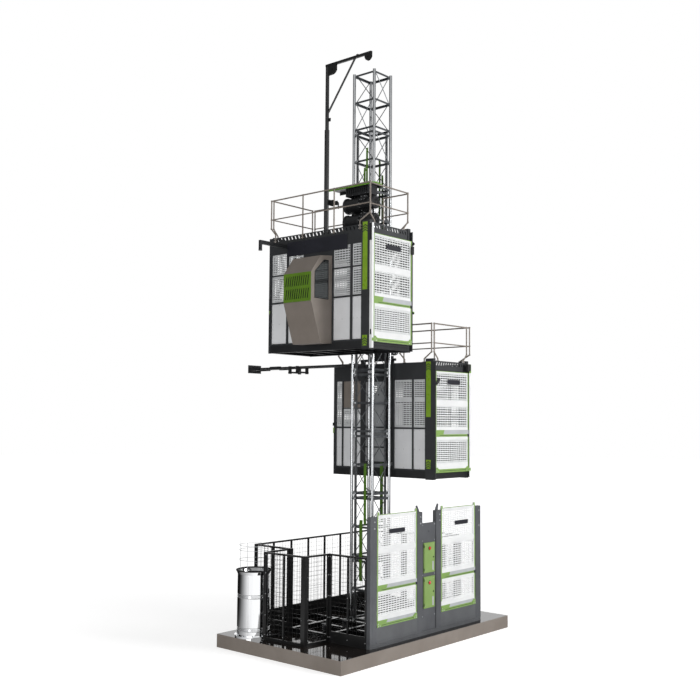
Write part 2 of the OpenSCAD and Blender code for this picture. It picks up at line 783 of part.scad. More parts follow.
module inner_frame(n) {
    s = n == 1 ? -1 : 1;
    cols = n == 1 ? in_cols_1 : in_cols_2;
    a = n == 1 ? -500 : -60;
    color([0.17, 0.18, 0.19]) at_cage(n) {
        difference() {
            union() {
                channel_grid(cage_in, frame_t, [-cage_y + duct_w + seam, floor_h + seam], [cage_y, cage_h],
                    concat(cols, [[s > 0 ? -120 : -550, s > 0 ? 550 : 120]]), in_rows, false);
                for (c = [[550, 710], [-370, -120]])
                    box([col_x, min(s * c[0], s * c[1]), floor_h + seam],
                        [cage_in + 6, max(s * c[0], s * c[1]), 2880]);
                box([cage_in, s > 0 ? -120 : -550, floor_h + 40],
                    [cage_in + 6, s > 0 ? 550 : 120, band_z - 30]);
                for (z = [roller_lo, pinion_safe + 260])
                    box([col_x, s > 0 ? -370 : -710, z - 40], [cage_in, s > 0 ? 710 : 370, z + 40]);
                forks(roller_lo);
            }
            box([cage_in - 20, min(s * 180, s * 335), 2090], [cage_in + 20, max(s * 180, s * 335), 2280]);
            translate([cage_in - 20, s * pinion_y, pinion_safe]) rotate([0, 90, 0]) cylinder(h = 60, d = 44);
        }
    }
}

// forks and pins of a pair of guide rollers
module forks(z) {
    h = roller_w / 2 + 2;
    for (y = [-mast_c, mast_c]) {
        for (s = [-1, 1]) translate([0, y + (s < 0 ? -h - fork_t : h), 0]) along_y(0, fork_t)
            polygon([[roller_x - 18, z - 20], [roller_x + 8, z - 38], [col_x + 4, z - 38],
                [col_x + 4, z + 38],
                [roller_x + 8, z + 38], [roller_x - 18, z + 20]]);
        translate([roller_x, y - h - fork_t - 2, z]) rotate([-90, 0, 0])
            cylinder(h = 2 * (h + fork_t + 2), d = roller_pin);
    }
}

module panels(n) {
    cols = n == 1 ? in_cols_1 : in_cols_2;
    color([0.78, 0.8, 0.82]) at_cage(n) {
        for (c = concat(out_front, out_rear))
            box([cage_out - 30, c[0] + seam, out_rows[0][0] + seam],
                [cage_out - 26, c[1] - seam, out_rows[0][1] - seam]);
        for (c = cols)
            box([cage_in + 26, c[0] + seam, in_rows[0][0] + seam],
                [cage_in + 30, c[1] - seam, in_rows[0][1] - seam]);
    }
}

module wire_walls(n) {
    cols = n == 1 ? in_cols_1 : in_cols_2;
    color([0.85, 0.86, 0.88]) at_cage(n) {
        for (c = concat(out_front, out_rear), r = [out_rows[1], out_rows[2]])
            along_x(cage_out - 30, mesh_wire)
                net([c[0] + seam, r[0] + seam], [c[1] - seam, r[1] - seam], mesh_pitch);
        for (c = cols)
            along_x(cage_in + 26, mesh_wire)
                net([c[0] + seam, in_rows[1][0] + seam], [c[1] - seam, in_rows[1][1] - seam], mesh_pitch);
    }
}

module roof(n) {
    color([0.2, 0.21, 0.22]) at_cage(n) {
        difference() {
            union() {
                box([cage_in + frame_t + seam, -cage_y + 25, ceil_z],
                    [cage_out - 25 - seam, cage_y - 25, ceil_z + 6]);
                for (i = [-2 : 2])
                    box([cage_in + frame_t + seam, i * 600 - 20, ceil_z - 30],
                        [cage_out - 25 - seam, i * 600 + 20, ceil_z]);
            }
            duct_space(ceil_z - 60, ceil_z + 60, seam);
        }
        for (r = [0, 1]) mirror([0, r, 0]) along_y(-cage_y + 16, 9 - seam) difference() {
            x0 = r == 0 ? cage_in + duct_d + seam : cage_in + frame_t + seam;
            x1 = r == 0 ? cage_out - duct_d - seam : cage_out - 25 - seam;
            rect([x0, ceil_z - 5], [x1, cage_h + 30]);
            slots(x0 + 30, x1 - 30, 13, cage_h - 80, cage_h - 5, 34, 16);
        }
        box([900, 818, ceil_z + 6 + seam], [1600, 1400, ceil_z + 26]);
        rod([960, 808, ceil_z + 18], [1540, 808, ceil_z + 18], 22);
    }
}

// operator cabin, drawn as [depth, height]

cabin_line = [[0, 150], [cabin_depth * 0.54, 140], [cabin_depth, cabin_lo], [cabin_depth, cabin_hi],
    [cabin_depth * 0.56, 2150], [0, 2190]];

window_line = [[128, 1160], [cabin_depth - 115, 1160], [cabin_depth - 115, 1740], [cabin_depth - 130, 1775],
    [300, 2035], [262, 2055], [225, 2060], [128, 2060]];

function unit(v) = v / norm(v);
function left(v) = [-v[1], v[0]];
function meet(p, d, q, e) = p + d * ((q - p) * left(e)) / (d * left(e));

// inner corner of a wall of thickness w at point b
function mitre(a, b, c, w) =
    let (d = unit(b - a), e = unit(c - b))
    meet(b + left(d) * w, d, b + left(e) * w, e);

module cabin(n) {
    last = len(cabin_line) - 1;
    x0 = cage_out + seam;
    w = cabin_wall;
    inner = [for (i = [0 : last])
        i == 0 ? cabin_line[0] + [0, w] : i == last ? cabin_line[last] - [0, w]
            : mitre(cabin_line[i - 1], cabin_line[i], cabin_line[i + 1], w)];
    color([0.42, 0.38, 0.35]) at_cage(n) {
        for (y = [-cabin_y, cabin_y - w]) along_y(y, w) translate([x0, 0]) difference() {
            polygon(cabin_line);
            polygon(window_line);
        }
        along_y(-cabin_y + w + seam, 2 * (cabin_y - w - seam)) translate([x0, 0])
            for (i = [0 : last - 1])
                let (d = unit(cabin_line[i + 1] - cabin_line[i]) * seam / 2)
                polygon([cabin_line[i] + d, cabin_line[i + 1] - d, inner[i + 1] - d, inner[i] + d]);
    }
}

module cabin_window(n) {
    c = [330, 1550];
    k = 0.998;
    color([0.25, 0.28, 0.3, 0.6]) at_cage(n)
        for (y = [-cabin_y + cabin_wall / 2 - 4, cabin_y - cabin_wall / 2 - 4])
            along_y(y, 8) translate([cage_out + seam, 0]) polygon([for (p = window_line) c + (p - c) * k]);
}

module cabin_grille(n) {
    color([0.42, 0.68, 0.14]) at_cage(n)
        along_x(cage_out + seam + cabin_depth + seam, grille_t) difference() {
            rect([-cabin_y + 6, cabin_lo + 4], [cabin_y - 6, cabin_hi - 4]);
            slots(-cabin_y + 60, cabin_y - 60, 11, cabin_lo + 70, cabin_lo + 300, 30, -18);
            slots(-cabin_y + 60, cabin_y - 60, 11, cabin_lo + 370, cabin_lo + 600, 30, -18);
        }
}

// guard rail on the roof

// post with a cranked foot; along is the plan direction of the crank
module rail_post(p, along, foot, spread) {
    q = p + along * spread;
    rod([p[0], p[1], rail_bend_hi], [p[0], p[1], guard_top], rail_d);
    rod([p[0], p[1], rail_bend_hi], [q[0], q[1], rail_bend_lo], rail_d);
    rod([q[0], q[1], foot], [q[0], q[1], rail_bend_lo], rail_d);
    for (z = [rail_bend_hi, guard_mid, guard_top]) knuckle([p[0], p[1], z]);
    translate([q[0], q[1], rail_bend_lo]) sphere(d = rail_d + 1);
}

module rail_bar(a, b, z, d) {
    rod([a[0], a[1], z], [b[0], b[1], z], d);
}

module rail_hoop(a, b, foot, spread_a, spread_b) {
    u = unit(b - a);
    rail_post(a, u, foot, spread_a);
    rail_post(b, -u, foot, spread_b);
    rail_bar(a, b, guard_top, rail_d);
    rail_bar(a, b, guard_mid, rail_d - 4);
}

module guard_rail(n) {
    x0 = cage_in + 25;
    x1 = cage_out + rail_d / 2 + seam;
    y = cage_y - 24;
    foot = cage_h - 120;
    long_arm = n == 1 ? -1 : 1;
    color([0.5, 0.47, 0.44]) at_cage(n) {
        rail_hoop([x1, -cage_y - 28], [x1, cage_y - 2], foot, 300, 150);
        for (s = [-1, 1]) {
            rod([x1, s * 500, foot], [x1, s * 500, guard_top], rail_d);
            for (z = [guard_mid, guard_top]) knuckle([x1, s * 500, z]);
            rail_hoop([x0 + 50, s * y], [cage_out - 40, s * y], cage_h + 30 + seam, 150, 150);
            rail_hoop([x0, s * (cage_y - 65)], [x0, s * (s == long_arm ? 760 : 530)], cage_h + seam,
                s < 0 ? 220 : 150, 150);
        }
    }
}

// doors of a cage

module entry_door(n) {
    color([0.9, 0.91, 0.91]) at_cage(n)
        leaf(door_x0, door_x1, door_z0, door_z1, -door_y - door_t, door_t, 223, [[938, 1235], [1750, 1888]],
            40, [door_z0 + 60, door_z0 + 360]);
}

module exit_upper(n) {
    color([0.9, 0.91, 0.91]) at_cage(n)
        leaf(door_x0, door_x1, 1215, door_z1, exit_lane_1 - exit_t / 2, exit_t, 130, [[1860, 1910]],
            40, [1275, 1575]);
}

module exit_lower(n) {
    color([0.9, 0.91, 0.91]) at_cage(n)
        leaf(door_x0, door_x1, door_z0, 1195, exit_lane_2 - exit_t / 2, exit_t, 223, [[700, 750]],
            40, [835, 1135]);
}

// drive above the roof, local x away from the mast

module drive_frame(n) {
    color([0.12, 0.12, 0.13]) at_drive(n) {
        difference() {
            union() {
                along_x(drive_x, drive_t)
                    polygon([[-280, 2881], [280, 2881], [280, 3780], [200, 3860], [-200, 3860],
                        [-280, 3780]]);
                box([drive_x + drive_t, -400, 2880 + seam], [drive_x + 75, 720, 2940]);
                box([drive_x + drive_t, -280, 3810], [drive_x + 75, 280, 3860]);
                for (y = [-280, 268]) box([drive_x + drive_t, y, 2940],
                    [drive_x + drive_t + 14, y + 12, 3810]);
                forks(roller_hi);
            }
            for (z = [pinion_lo, pinion_hi]) translate([drive_x - 20, pinion_y, z]) rotate([0, 90, 0])
                cylinder(h = 60, d = pinion_shaft + 2 * shaft_gap);
        }
        difference() {
            box([cage_in + 20, -175, 3860 + seam], [800, 560, 4100]);
            box([cage_in + 26, -169, 3860], [794, 554, 4094]);
            for (y = [-120 : 60 : 480]) box([790, y, 3920], [810, y + 20, 4040]);
        }
        along_y(-680, 1360) polygon([[445, 4040], [449, 4040], [449, 4100 + seam], [861, 4100 + seam],
            [861, 4060],
            [865, 4060], [865, 4112], [640, 4146], [445, 4118]]);
    }
}

// one motor with a right-angle gear housing; the origin is on the motor axis over the pinion
module gear_motor() {
    r = gear_d / 2;
    m = motor_d / 2;
    difference() {
        union() {
            translate([motor_x, -245, 0]) rotate([-90, 0, 0]) rotate_extrude()
                polygon([[0, 0], [r - 60, 0], [r - 50, 10], [r - 12, 10], [r, 22], [r, 60], [r - 22, 72],
                    [r - 22, 470],
                    [m + 24, 486], [m + 24, 504], [m, 504], [m, 760], [m + 10, 770], [m + 10, 910],
                        [m - 18, 930],
                    [0, 930]]);
            for (a = [15 : 30 : 345]) translate([motor_x, 0, 0]) rotate([0, a, 0])
                box([m - 10, 263, -4], [m + 18, 513, 4]);
            box([motor_x - 180, -190, -125], [motor_x - 40, 45, 125]);
            translate([drive_x + drive_t + seam, pinion_y, 0]) rotate([0, 90, 0]) cylinder(h = 80, d = 200);
            box([motor_x + 60, 323, 60], [motor_x + 170, 473, 170]);
        }
        translate([drive_x, pinion_y, 0]) rotate([0, 90, 0])
            cylinder(h = 60, d = pinion_shaft + 2 * shaft_gap);
    }
}

module gear_motors(n) {
    color([0.1, 0.1, 0.11]) at_drive(n)
        for (z = [pinion_lo, pinion_hi]) translate([0, 0, z]) gear_motor();
}

// involute flank: half the angle of a tooth at radius r, in degrees
function inv(a) = tan(a) - a * PI / 180;
function half_tooth(r) =
    let (rb = pitch_r * cos(20), rc = max(r, rb))
    90 / pinion_teeth + (inv(20) - inv(acos(rb / rc)) - backlash / 2 / pitch_r) * 180 / PI
        - (r < rb ? 1.1 * (rb - r) / tooth : 0);

module pinion_outline() {
    ro = pitch_r + tooth;
    rr = pitch_r - 1.25 * tooth;
    rb = pitch_r * cos(20);
    radii = [rr, rb, rb + (ro - rb) * 0.33, rb + (ro - rb) * 0.67, ro];
    n = len(radii);
    polygon([for (k = [0 : pinion_teeth - 1], i = [0 : 2 * n - 1])
        let (r = radii[i < n ? i : 2 * n - 1 - i],
            a = 360 * k / pinion_teeth + (i < n ? -1 : 1) * half_tooth(r))
        [r * cos(a), r * sin(a)]]);
}

// pinion on its shaft, turned so that a tooth meets the gap of the rack
module pinion(n, z, shaft, len) {
    above = (n == 1 ? cage_1_z : cage_2_z) + z - mast_z;
    turn = 180 + (above % pitch) / pitch_r * 180 / PI;
    color([0.6, 0.61, 0.63]) at_drive(n) translate([0, pinion_y, z]) {
        along_x(rack_x, rack_w) rotate(turn) pinion_outline();
        translate([rack_x + rack_w, 0, 0]) rotate([0, 90, 0]) cylinder(h = 12, d = shaft + 24);
        translate([rack_x + 2, 0, 0]) rotate([0, 90, 0]) cylinder(h = rack_w - 2 + len, d = shaft);
    }
}

module safety_gear(n) {
    x = cage_in + 6 + seam;
    color([0.35, 0.36, 0.38]) at_drive(n) difference() {
        translate([x, pinion_y, pinion_safe]) rotate([0, 90, 0]) rotate_extrude()
            polygon([[0, 0], [45, 0], [45, 46], [120, 46], [120, 66], [105, 72], [105, 210], [92, 240],
                [60, 248],
                [60, 280], [0, 280]]);
        translate([cage_in, pinion_y, pinion_safe]) rotate([0, 90, 0])
            cylinder(h = 46, d = 40 + 2 * shaft_gap);
    }
}

// pair of grooved rollers on one axis along Y
module rollers(n, z) {
    w = roller_w / 2;
    g = tube_r + gap;
    c = roller_r + g;
    flat = c - roller_flange;
    h = sqrt(g * g - flat * flat);
    color([0.5, 0.51, 0.53]) at_cage(n)
        for (y = [-mast_c, mast_c]) translate([roller_x, y, z]) rotate([-90, 0, 0]) rotate_extrude()
            difference() {
            rect([roller_pin / 2 + gap, -w], [roller_flange, w]);
            translate([c, 0]) circle(r = g, $fn = 64);
        }
}

// jib on the roof of the first cage

module jib_socket() {
    color([0.1, 0.1, 0.11]) at_cage(1) {
        difference() {
            union() {
                translate([jib_x, jib_y, ceil_z + 6 + seam])
                    cylinder(h = sleeve_top - ceil_z - 6 - seam, d = sleeve_d);
                box([jib_x - 260, jib_y - 150, ceil_z + 6 + seam], [jib_x + 58, jib_y + 150, ceil_z + 18]);
                for (a = [90, 180, 270]) translate([jib_x, jib_y, 0]) rotate([0, 0, a]) translate([50, 0, 0])
                    along_y(-5, 10) polygon([[0, ceil_z + 10], [95, ceil_z + 10], [0, ceil_z + 220]]);
                box([jib_x - 180, jib_y - 60, 3420], [jib_x + 20, jib_y - 48, 3560]);
                box([jib_x - 180, jib_y - 200, 3440], [jib_x - 168, jib_y - 48, 3540]);
                box([jib_x - 52, jib_y - 200, 3440], [jib_x - 40, jib_y - 48, 3540]);
                rod([jib_x - 250, jib_y - 130, 3490], [jib_x - 40, jib_y - 130, 3490], 90);
                rod([jib_x - 290, jib_y - 130, 3490], [jib_x - 250, jib_y - 130, 3490], 30);
                box([jib_x - 290, jib_y - 140, 3370], [jib_x - 278, jib_y - 120, 3500]);
            }
            translate([jib_x, jib_y, ceil_z + 18]) cylinder(h = 3000, d = jib_d + 2 * gap);
        }
    }
}

module jib_crane() {
    tip = jib_y - jib_reach;
    arm = jib_top - 60;
    color([0.1, 0.1, 0.11]) at_cage(1) {
        translate([jib_x, jib_y, ceil_z + 18 + gap]) cylinder(h = jib_top - ceil_z - 18 - gap, d = jib_d);
        translate([jib_x, jib_y, sleeve_top + gap]) cylinder(h = 40, d = sleeve_d);
        box([jib_x - 30, tip, arm], [jib_x + 30, jib_y + 120, jib_top]);
        rod([jib_x, jib_y, 5630], [jib_x, tip + 560, arm + 20], 46);
        box([jib_x - 10, jib_y - 110, 5420], [jib_x + 10, jib_y - 40, 5500]);
        along_x(jib_x - 30, 60) polygon([[tip, arm], [tip + 60, arm], [tip, jib_top + 30]]);
        for (x = [-24, 14]) along_x(jib_x + x, 10)
            polygon([[tip + 90, arm], [tip + 230, arm], [tip + 200, arm - 130], [tip + 120, arm - 130]]);
        rod([jib_x - 24, tip + 160, arm - 90], [jib_x + 24, tip + 160, arm - 90], 20);
        rod([jib_x - 13, tip + 160, arm - 90], [jib_x + 13, tip + 160, arm - 90], 110);
        for (x = [-24, 14]) along_x(jib_x + x, 10)
            polygon([[jib_y + 40, arm - 10], [jib_y + 170, arm - 10], [jib_y + 170, jib_top + 70],
                [jib_y + 110, jib_top + 70]]);
        rod([jib_x - 24, jib_y + 130, jib_top + 35], [jib_x + 24, jib_y + 130, jib_top + 35], 20);
        rod([jib_x - 13, jib_y + 130, jib_top + 35], [jib_x + 13, jib_y + 130, jib_top + 35], 90);
    }
}

foundation_slab();
base_frame();
buffer_springs();
mast_sections();
rack_1();
rack_2();
limit_cams();
wall_tie();
cable_drum();
cable_guides();
landing_posts();
control_boxes();
landing_sills();
fence();
landing_gate_1();
landing_gate_2();
jib_socket();
jib_crane();
at_cage(1) cage_floor();  // cage_1_floor
roof(1);  // cage_1_roof
outer_frame(1);  // cage_1_outer_frame
inner_frame(1);  // cage_1_inner_frame
panels(1);  // cage_1_panels
wire_walls(1);  // cage_1_mesh
cabin(1);  // cage_1_cabin
cabin_window(1);  // cage_1_cabin_window
cabin_grille(1);  // cage_1_cabin_grille
guard_rail(1);  // cage_1_guard_rail
entry_door(1);  // cage_1_entry_door
exit_upper(1);  // cage_1_exit_door_upper
exit_lower(1);  // cage_1_exit_door_lower
drive_frame(1);  // cage_1_drive_frame
gear_motors(1);  // cage_1_gear_motors
pinion(1, pinion_hi, pinion_shaft, 60);  // cage_1_pinion_upper
pinion(1, pinion_lo, pinion_shaft, 60);  // cage_1_pinion_lower
safety_gear(1);  // cage_1_safety_gear
pinion(1, pinion_safe, 40, 100);  // cage_1_safety_pinion
rollers(1, roller_hi);  // cage_1_rollers_upper
rollers(1, roller_lo);  // cage_1_rollers_lower
at_cage(2) cage_floor();  // cage_2_floor
roof(2);  // cage_2_roof
outer_frame(2);  // cage_2_outer_frame
inner_frame(2);  // cage_2_inner_frame
panels(2);  // cage_2_panels
wire_walls(2);  // cage_2_mesh
cabin(2);  // cage_2_cabin
cabin_window(2);  // cage_2_cabin_window
cabin_grille(2);  // cage_2_cabin_grille
guard_rail(2);  // cage_2_guard_rail
entry_door(2);  // cage_2_entry_door
exit_upper(2);  // cage_2_exit_door_upper
exit_lower(2);  // cage_2_exit_door_lower
drive_frame(2);  // cage_2_drive_frame
gear_motors(2);  // cage_2_gear_motors
pinion(2, pinion_hi, pinion_shaft, 60);  // cage_2_pinion_upper
pinion(2, pinion_lo, pinion_shaft, 60);  // cage_2_pinion_lower
safety_gear(2);  // cage_2_safety_gear
pinion(2, pinion_safe, 40, 100);  // cage_2_safety_pinion
rollers(2, roller_hi);  // cage_2_rollers_upper
rollers(2, roller_lo);  // cage_2_rollers_lower
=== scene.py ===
import math
from functools import partial
import bpy
import bmesh
from mathutils import Matrix, Vector


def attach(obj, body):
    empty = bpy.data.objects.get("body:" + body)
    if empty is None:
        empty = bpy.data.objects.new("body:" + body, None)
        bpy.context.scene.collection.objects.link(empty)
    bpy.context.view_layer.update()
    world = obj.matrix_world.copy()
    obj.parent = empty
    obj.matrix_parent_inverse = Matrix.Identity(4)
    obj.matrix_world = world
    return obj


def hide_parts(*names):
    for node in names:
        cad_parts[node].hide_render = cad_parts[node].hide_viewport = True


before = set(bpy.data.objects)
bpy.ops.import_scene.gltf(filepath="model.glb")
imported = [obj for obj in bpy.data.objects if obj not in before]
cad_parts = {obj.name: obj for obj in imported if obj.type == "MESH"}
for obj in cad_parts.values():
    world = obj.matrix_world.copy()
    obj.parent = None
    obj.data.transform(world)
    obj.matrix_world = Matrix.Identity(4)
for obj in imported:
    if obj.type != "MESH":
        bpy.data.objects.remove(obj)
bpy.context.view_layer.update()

print("stage: frame loaded,", len(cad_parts), "nodes")

view = {"place": (-18.405, -15.270, 5.206), "turn": 49.061, "tilt": 4.171, "roll": 0.402, "lens": 49.682,
        "sensor": 36, "reach": 400}


def placeCamera():
    turn, tilt, roll = (math.radians(view[key]) for key in ("turn", "tilt", "roll"))
    ahead = Vector((math.sin(turn) * math.cos(tilt), math.cos(turn) * math.cos(tilt), math.sin(tilt)))
    level = Vector((math.cos(turn), -math.sin(turn), 0))
    upright = level.cross(ahead)
    right = level * math.cos(roll) + upright * math.sin(roll)
    above = upright * math.cos(roll) - level * math.sin(roll)
    data = bpy.data.cameras.new("camera")
    data.lens = view["lens"]
    data.sensor_width = view["sensor"]
    data.clip_end = view["reach"]
    camera = bpy.data.objects.new("camera", data)
    bpy.context.scene.collection.objects.link(camera)
    turned = Matrix((right, above, -ahead)).transposed().to_4x4()
    camera.matrix_world = Matrix.Translation(view["place"]) @ turned
    bpy.context.scene.camera = camera


placeCamera()
bpy.context.scene.view_settings.view_transform = "Standard"


def shade(code):
    parts = [int(code[i:i + 2], 16) / 255 for i in (1, 3, 5)]
    return [p / 12.92 if p <= 0.04045 else ((p + 0.055) / 1.055) ** 2.4 for p in parts] + [1]


def perMetre(millimetres):
    return 1000 / millimetres


# links lead from a socket, or from the first output of a node; stops are the places and colours of a ramp
def addNode(tree, kind, settings=None, links=None, stops=()):
    node = tree.nodes.new("ShaderNode" + kind)
    for key, value in (settings or {}).items():
        if isinstance(key, int) or key in node.inputs:
            node.inputs[key].default_value = value
        else:
            setattr(node, key, value)
    for key, source in (links or {}).items():
        socket = source.outputs[0] if isinstance(source, bpy.types.Node) else source
        tree.links.new(socket, node.inputs[key])
    for i, (place, code) in enumerate(stops):
        knots = node.color_ramp.elements
        knot = knots[i] if i < 2 else knots.new(place)
        knot.position = place
        knot.color = shade(code)
    return node


def newFinish(name):
    material = bpy.data.materials.new(name)
    material.use_nodes = True
    material.node_tree.nodes.clear()
    return material, partial(addNode, material.node_tree)


# sprayed and stoved paint: slow clouds of colour, a fine orange peel, a breath of dust on what faces up
def paintFinish(name, look):
    material, add = newFinish(name)
    place = add("TexCoord").outputs["Object"]
    cloud = add("TexNoise", {"Scale": perMetre(look["patchMm"]), "Detail": 4}, {"Vector": place})
    paint = add("ValToRGB", links={"Fac": cloud}, stops=((0.35, look["colour"]), (0.65, look["faded"])))
    normal = add("NewGeometry").outputs["Normal"]
    up = add("SeparateXYZ", links={"Vector": normal}).outputs["Z"]
    speck = add("TexNoise", {"Scale": perMetre(look["dustMm"]), "Detail": 6}, {"Vector": place})
    settled = add("MapRange", {"From Min": 0.7, "From Max": 1.0, "To Max": look["dust"]}, {"Value": up})
    dusty = add("Math", {"operation": "MULTIPLY"}, {0: settled, 1: speck})
    colour = add("Mix", {"data_type": "RGBA", 7: shade("#a39d95")}, {0: dusty, 6: paint})
    mottle = add("TexNoise", {"Scale": perMetre(look["patchMm"] / 3), "Detail": 4}, {"Vector": place})
    gloss = add("MapRange", {"To Min": look["roughness"] - 0.06, "To Max": look["roughness"] + 0.08},
                {"Value": mottle})
    skin = add("TexNoise", {"Scale": perMetre(look["peelMm"]), "Detail": 2}, {"Vector": place})
    peel = add("Bump", {"Strength": look["peel"], "Distance": 0.0006}, {"Height": skin})
    shader = add("BsdfPrincipled",
                 {"Metallic": 0.0, "IOR": 1.5, "Coat Weight": look["coat"], "Coat Roughness": 0.12},
                 {"Base Color": colour.outputs[2], "Roughness": gloss, "Normal": peel})
    add("OutputMaterial", links={"Surface": shader})
    return material


# bare or zinc-coated metal: crystal spangle or machining grain over soft clouds of tarnish
def metalFinish(name, look):
    material, add = newFinish(name)
    place = add("TexCoord").outputs["Object"]
    drawn = add("Mapping", {"Scale": look["stretch"]}, {"Vector": place})
    spangle = add("TexVoronoi", {"Scale": perMetre(look["grainMm"])}, {"Vector": drawn})
    cells = add("SeparateColor", links={"Color": spangle.outputs["Color"]})
    cloud = add("TexNoise", {"Scale": perMetre(look["cloudMm"]), "Detail": 4}, {"Vector": drawn})
    both = add("Math", {"operation": "MULTIPLY_ADD", 1: look["spangle"]}, {0: cells.outputs["Red"], 2: cloud})
    colour = add("ValToRGB", links={"Fac": both},
                 stops=((0.4, look["colour"]), (0.6 + look["spangle"] / 2, look["bright"])))
    gloss = add("MapRange", {"To Min": look["roughness"] + 0.06, "To Max": look["roughness"] - 0.04},
                {"Value": both})
    grain = add("TexNoise", {"Scale": perMetre(look["grainMm"]), "Detail": 2}, {"Vector": drawn})
    bump = add("Bump", {"Strength": look["bump"], "Distance": 0.0008}, {"Height": grain})
    shader = add("BsdfPrincipled", {"Metallic": 1.0},
                 {"Base Color": colour, "Roughness": gloss, "Normal": bump})
    add("OutputMaterial", links={"Surface": shader})
    return material


# mast: bright drawn tubes at the four corners, duller dipped angles and bars between them
def mastFinish(name, look):
    material, add = newFinish(name)
    place = add("TexCoord").outputs["Object"]
    folded = add("VectorMath", {"operation": "ABSOLUTE"}, {0: place})
    fromTube = add("VectorMath", {"operation": "SUBTRACT", 1: (*look["tubeAt"], 0)}, {0: folded})
    flat = add("VectorMath", {"operation": "MULTIPLY", 1: (1, 1, 0)}, {0: fromTube})
    away = add("VectorMath", {"operation": "LENGTH"}, {0: flat})
    isTube = add("Math", {"operation": "LESS_THAN", 1: look["tubeRadius"]}, {0: away.outputs["Value"]})
    spangle = add("TexVoronoi", {"Scale": perMetre(look["spangleMm"])}, {"Vector": place})
    cells = add("SeparateColor", links={"Color": spangle.outputs["Color"]}).outputs["Red"]
    cloud = add("TexNoise", {"Scale": perMetre(look["cloudMm"]), "Detail": 4}, {"Vector": place})
    both = add("Math", {"operation": "MULTIPLY_ADD", 1: 0.25}, {0: cells, 2: cloud})
    tube = add("ValToRGB", links={"Fac": both}, stops=((0.4, look["tube"]), (0.8, look["tubeBright"])))
    bar = add("ValToRGB", links={"Fac": both}, stops=((0.4, look["bar"]), (0.8, look["barBright"])))
    colour = add("Mix", {"data_type": "RGBA"}, {0: isTube, 6: bar, 7: tube}).outputs[2]
    smooth = add("MapRange", {"To Min": look["barRough"], "To Max": look["tubeRough"]}, {"Value": isTube})
    gloss = add("Math", {"operation": "MULTIPLY_ADD", 1: 0.04}, {0: cloud, 2: smooth})
    skin = add("Bump", {"Strength": 0.002, "Distance": 0.0008}, {"Height": cells})
    shader = add("BsdfPrincipled", {"Metallic": 1.0},
                 {"Base Color": colour, "Roughness": gloss, "Normal": skin})
    add("OutputMaterial", links={"Surface": shader})
    return material


# poured concrete: the sealed, polished top mirrors what stands on it, the sides are chalky with fine pores
def slabFinish(name, look):
    material, add = newFinish(name)
    place = add("TexCoord").outputs["Object"]
    normal = add("NewGeometry").outputs["Normal"]
    up = add("SeparateXYZ", links={"Vector": normal}).outputs["Z"]
    top = add("Math", {"operation": "GREATER_THAN", 1: 0.5}, {0: up})
    stain = add("TexNoise", {"Scale": perMetre(look["stainMm"]), "Detail": 6}, {"Vector": place})
    grit = add("TexNoise", {"Scale": perMetre(look["gritMm"]), "Detail": 3}, {"Vector": place})
    sides = add("ValToRGB", links={"Fac": stain}, stops=((0.35, look["side"]), (0.65, look["sidePale"])))
    floor = add("ValToRGB", links={"Fac": stain}, stops=((0.35, look["top"]), (0.65, look["topPale"])))
    colour = add("Mix", {"data_type": "RGBA"}, {0: top, 6: sides, 7: floor}).outputs[2]
    rough = add("MapRange", {"To Min": look["sideRough"] - 0.08, "To Max": look["sideRough"] + 0.08},
                {"Value": grit})
    polish = add("MapRange", {"To Min": look["topRough"], "To Max": look["topRough"] + 0.05}, {"Value": stain})
    gloss = add("Mix", {"data_type": "FLOAT"}, {0: top, 2: rough, 3: polish})
    depth = add("Math", {"operation": "MULTIPLY_ADD", 1: -0.35, 2: 0.35}, {0: top})
    bump = add("Bump", {"Distance": 0.002}, {"Strength": depth, "Height": grit})
    shader = add("BsdfPrincipled", {"Metallic": 0.0, "IOR": 1.5},
                 {"Base Color": colour, "Roughness": gloss, "Normal": bump})
    add("OutputMaterial", links={"Surface": shader})
    return material


# clear or coloured pane: light goes through, with faint smears in the gloss
def paneFinish(name, look):
    material, add = newFinish(name)
    place = add("TexCoord").outputs["Object"]
    patch = add("TexNoise", {"Scale": perMetre(look["patchMm"]), "Detail": 3}, {"Vector": place})
    colour = add("ValToRGB", links={"Fac": patch}, stops=((0.35, look["colour"]), (0.65, look["pale"])))
    smear = add("TexNoise", {"Scale": perMetre(look["smearMm"]), "Detail": 4}, {"Vector": place})
    gloss = add("MapRange", {"To Min": look["roughness"], "To Max": look["roughness"] + 0.02}, {"Value": smear})
    shader = add("BsdfPrincipled", {"Metallic": 0.0, "IOR": look["ior"], "Transmission Weight": look["clear"]},
                 {"Base Color": colour, "Roughness": gloss})
    add("OutputMaterial", links={"Surface": shader})
    return material


# orange peel is a fraction of a millimetre high and a few wide, too fine to show, so it is drawn coarser
enamel = {"patchMm": 420, "peelMm": 9, "peel": 0.10, "roughness": 0.38, "dustMm": 60, "dust": 0.10, "coat": 0.0}
# cutter marks are finer than a pixel and show only as a soft sheen, so the grain is a few millimetres wide
cut = {"grainMm": 4, "cloudMm": 60, "roughness": 0.30, "bump": 0.05, "spangle": 0.15, "stretch": (1, 1, 1)}

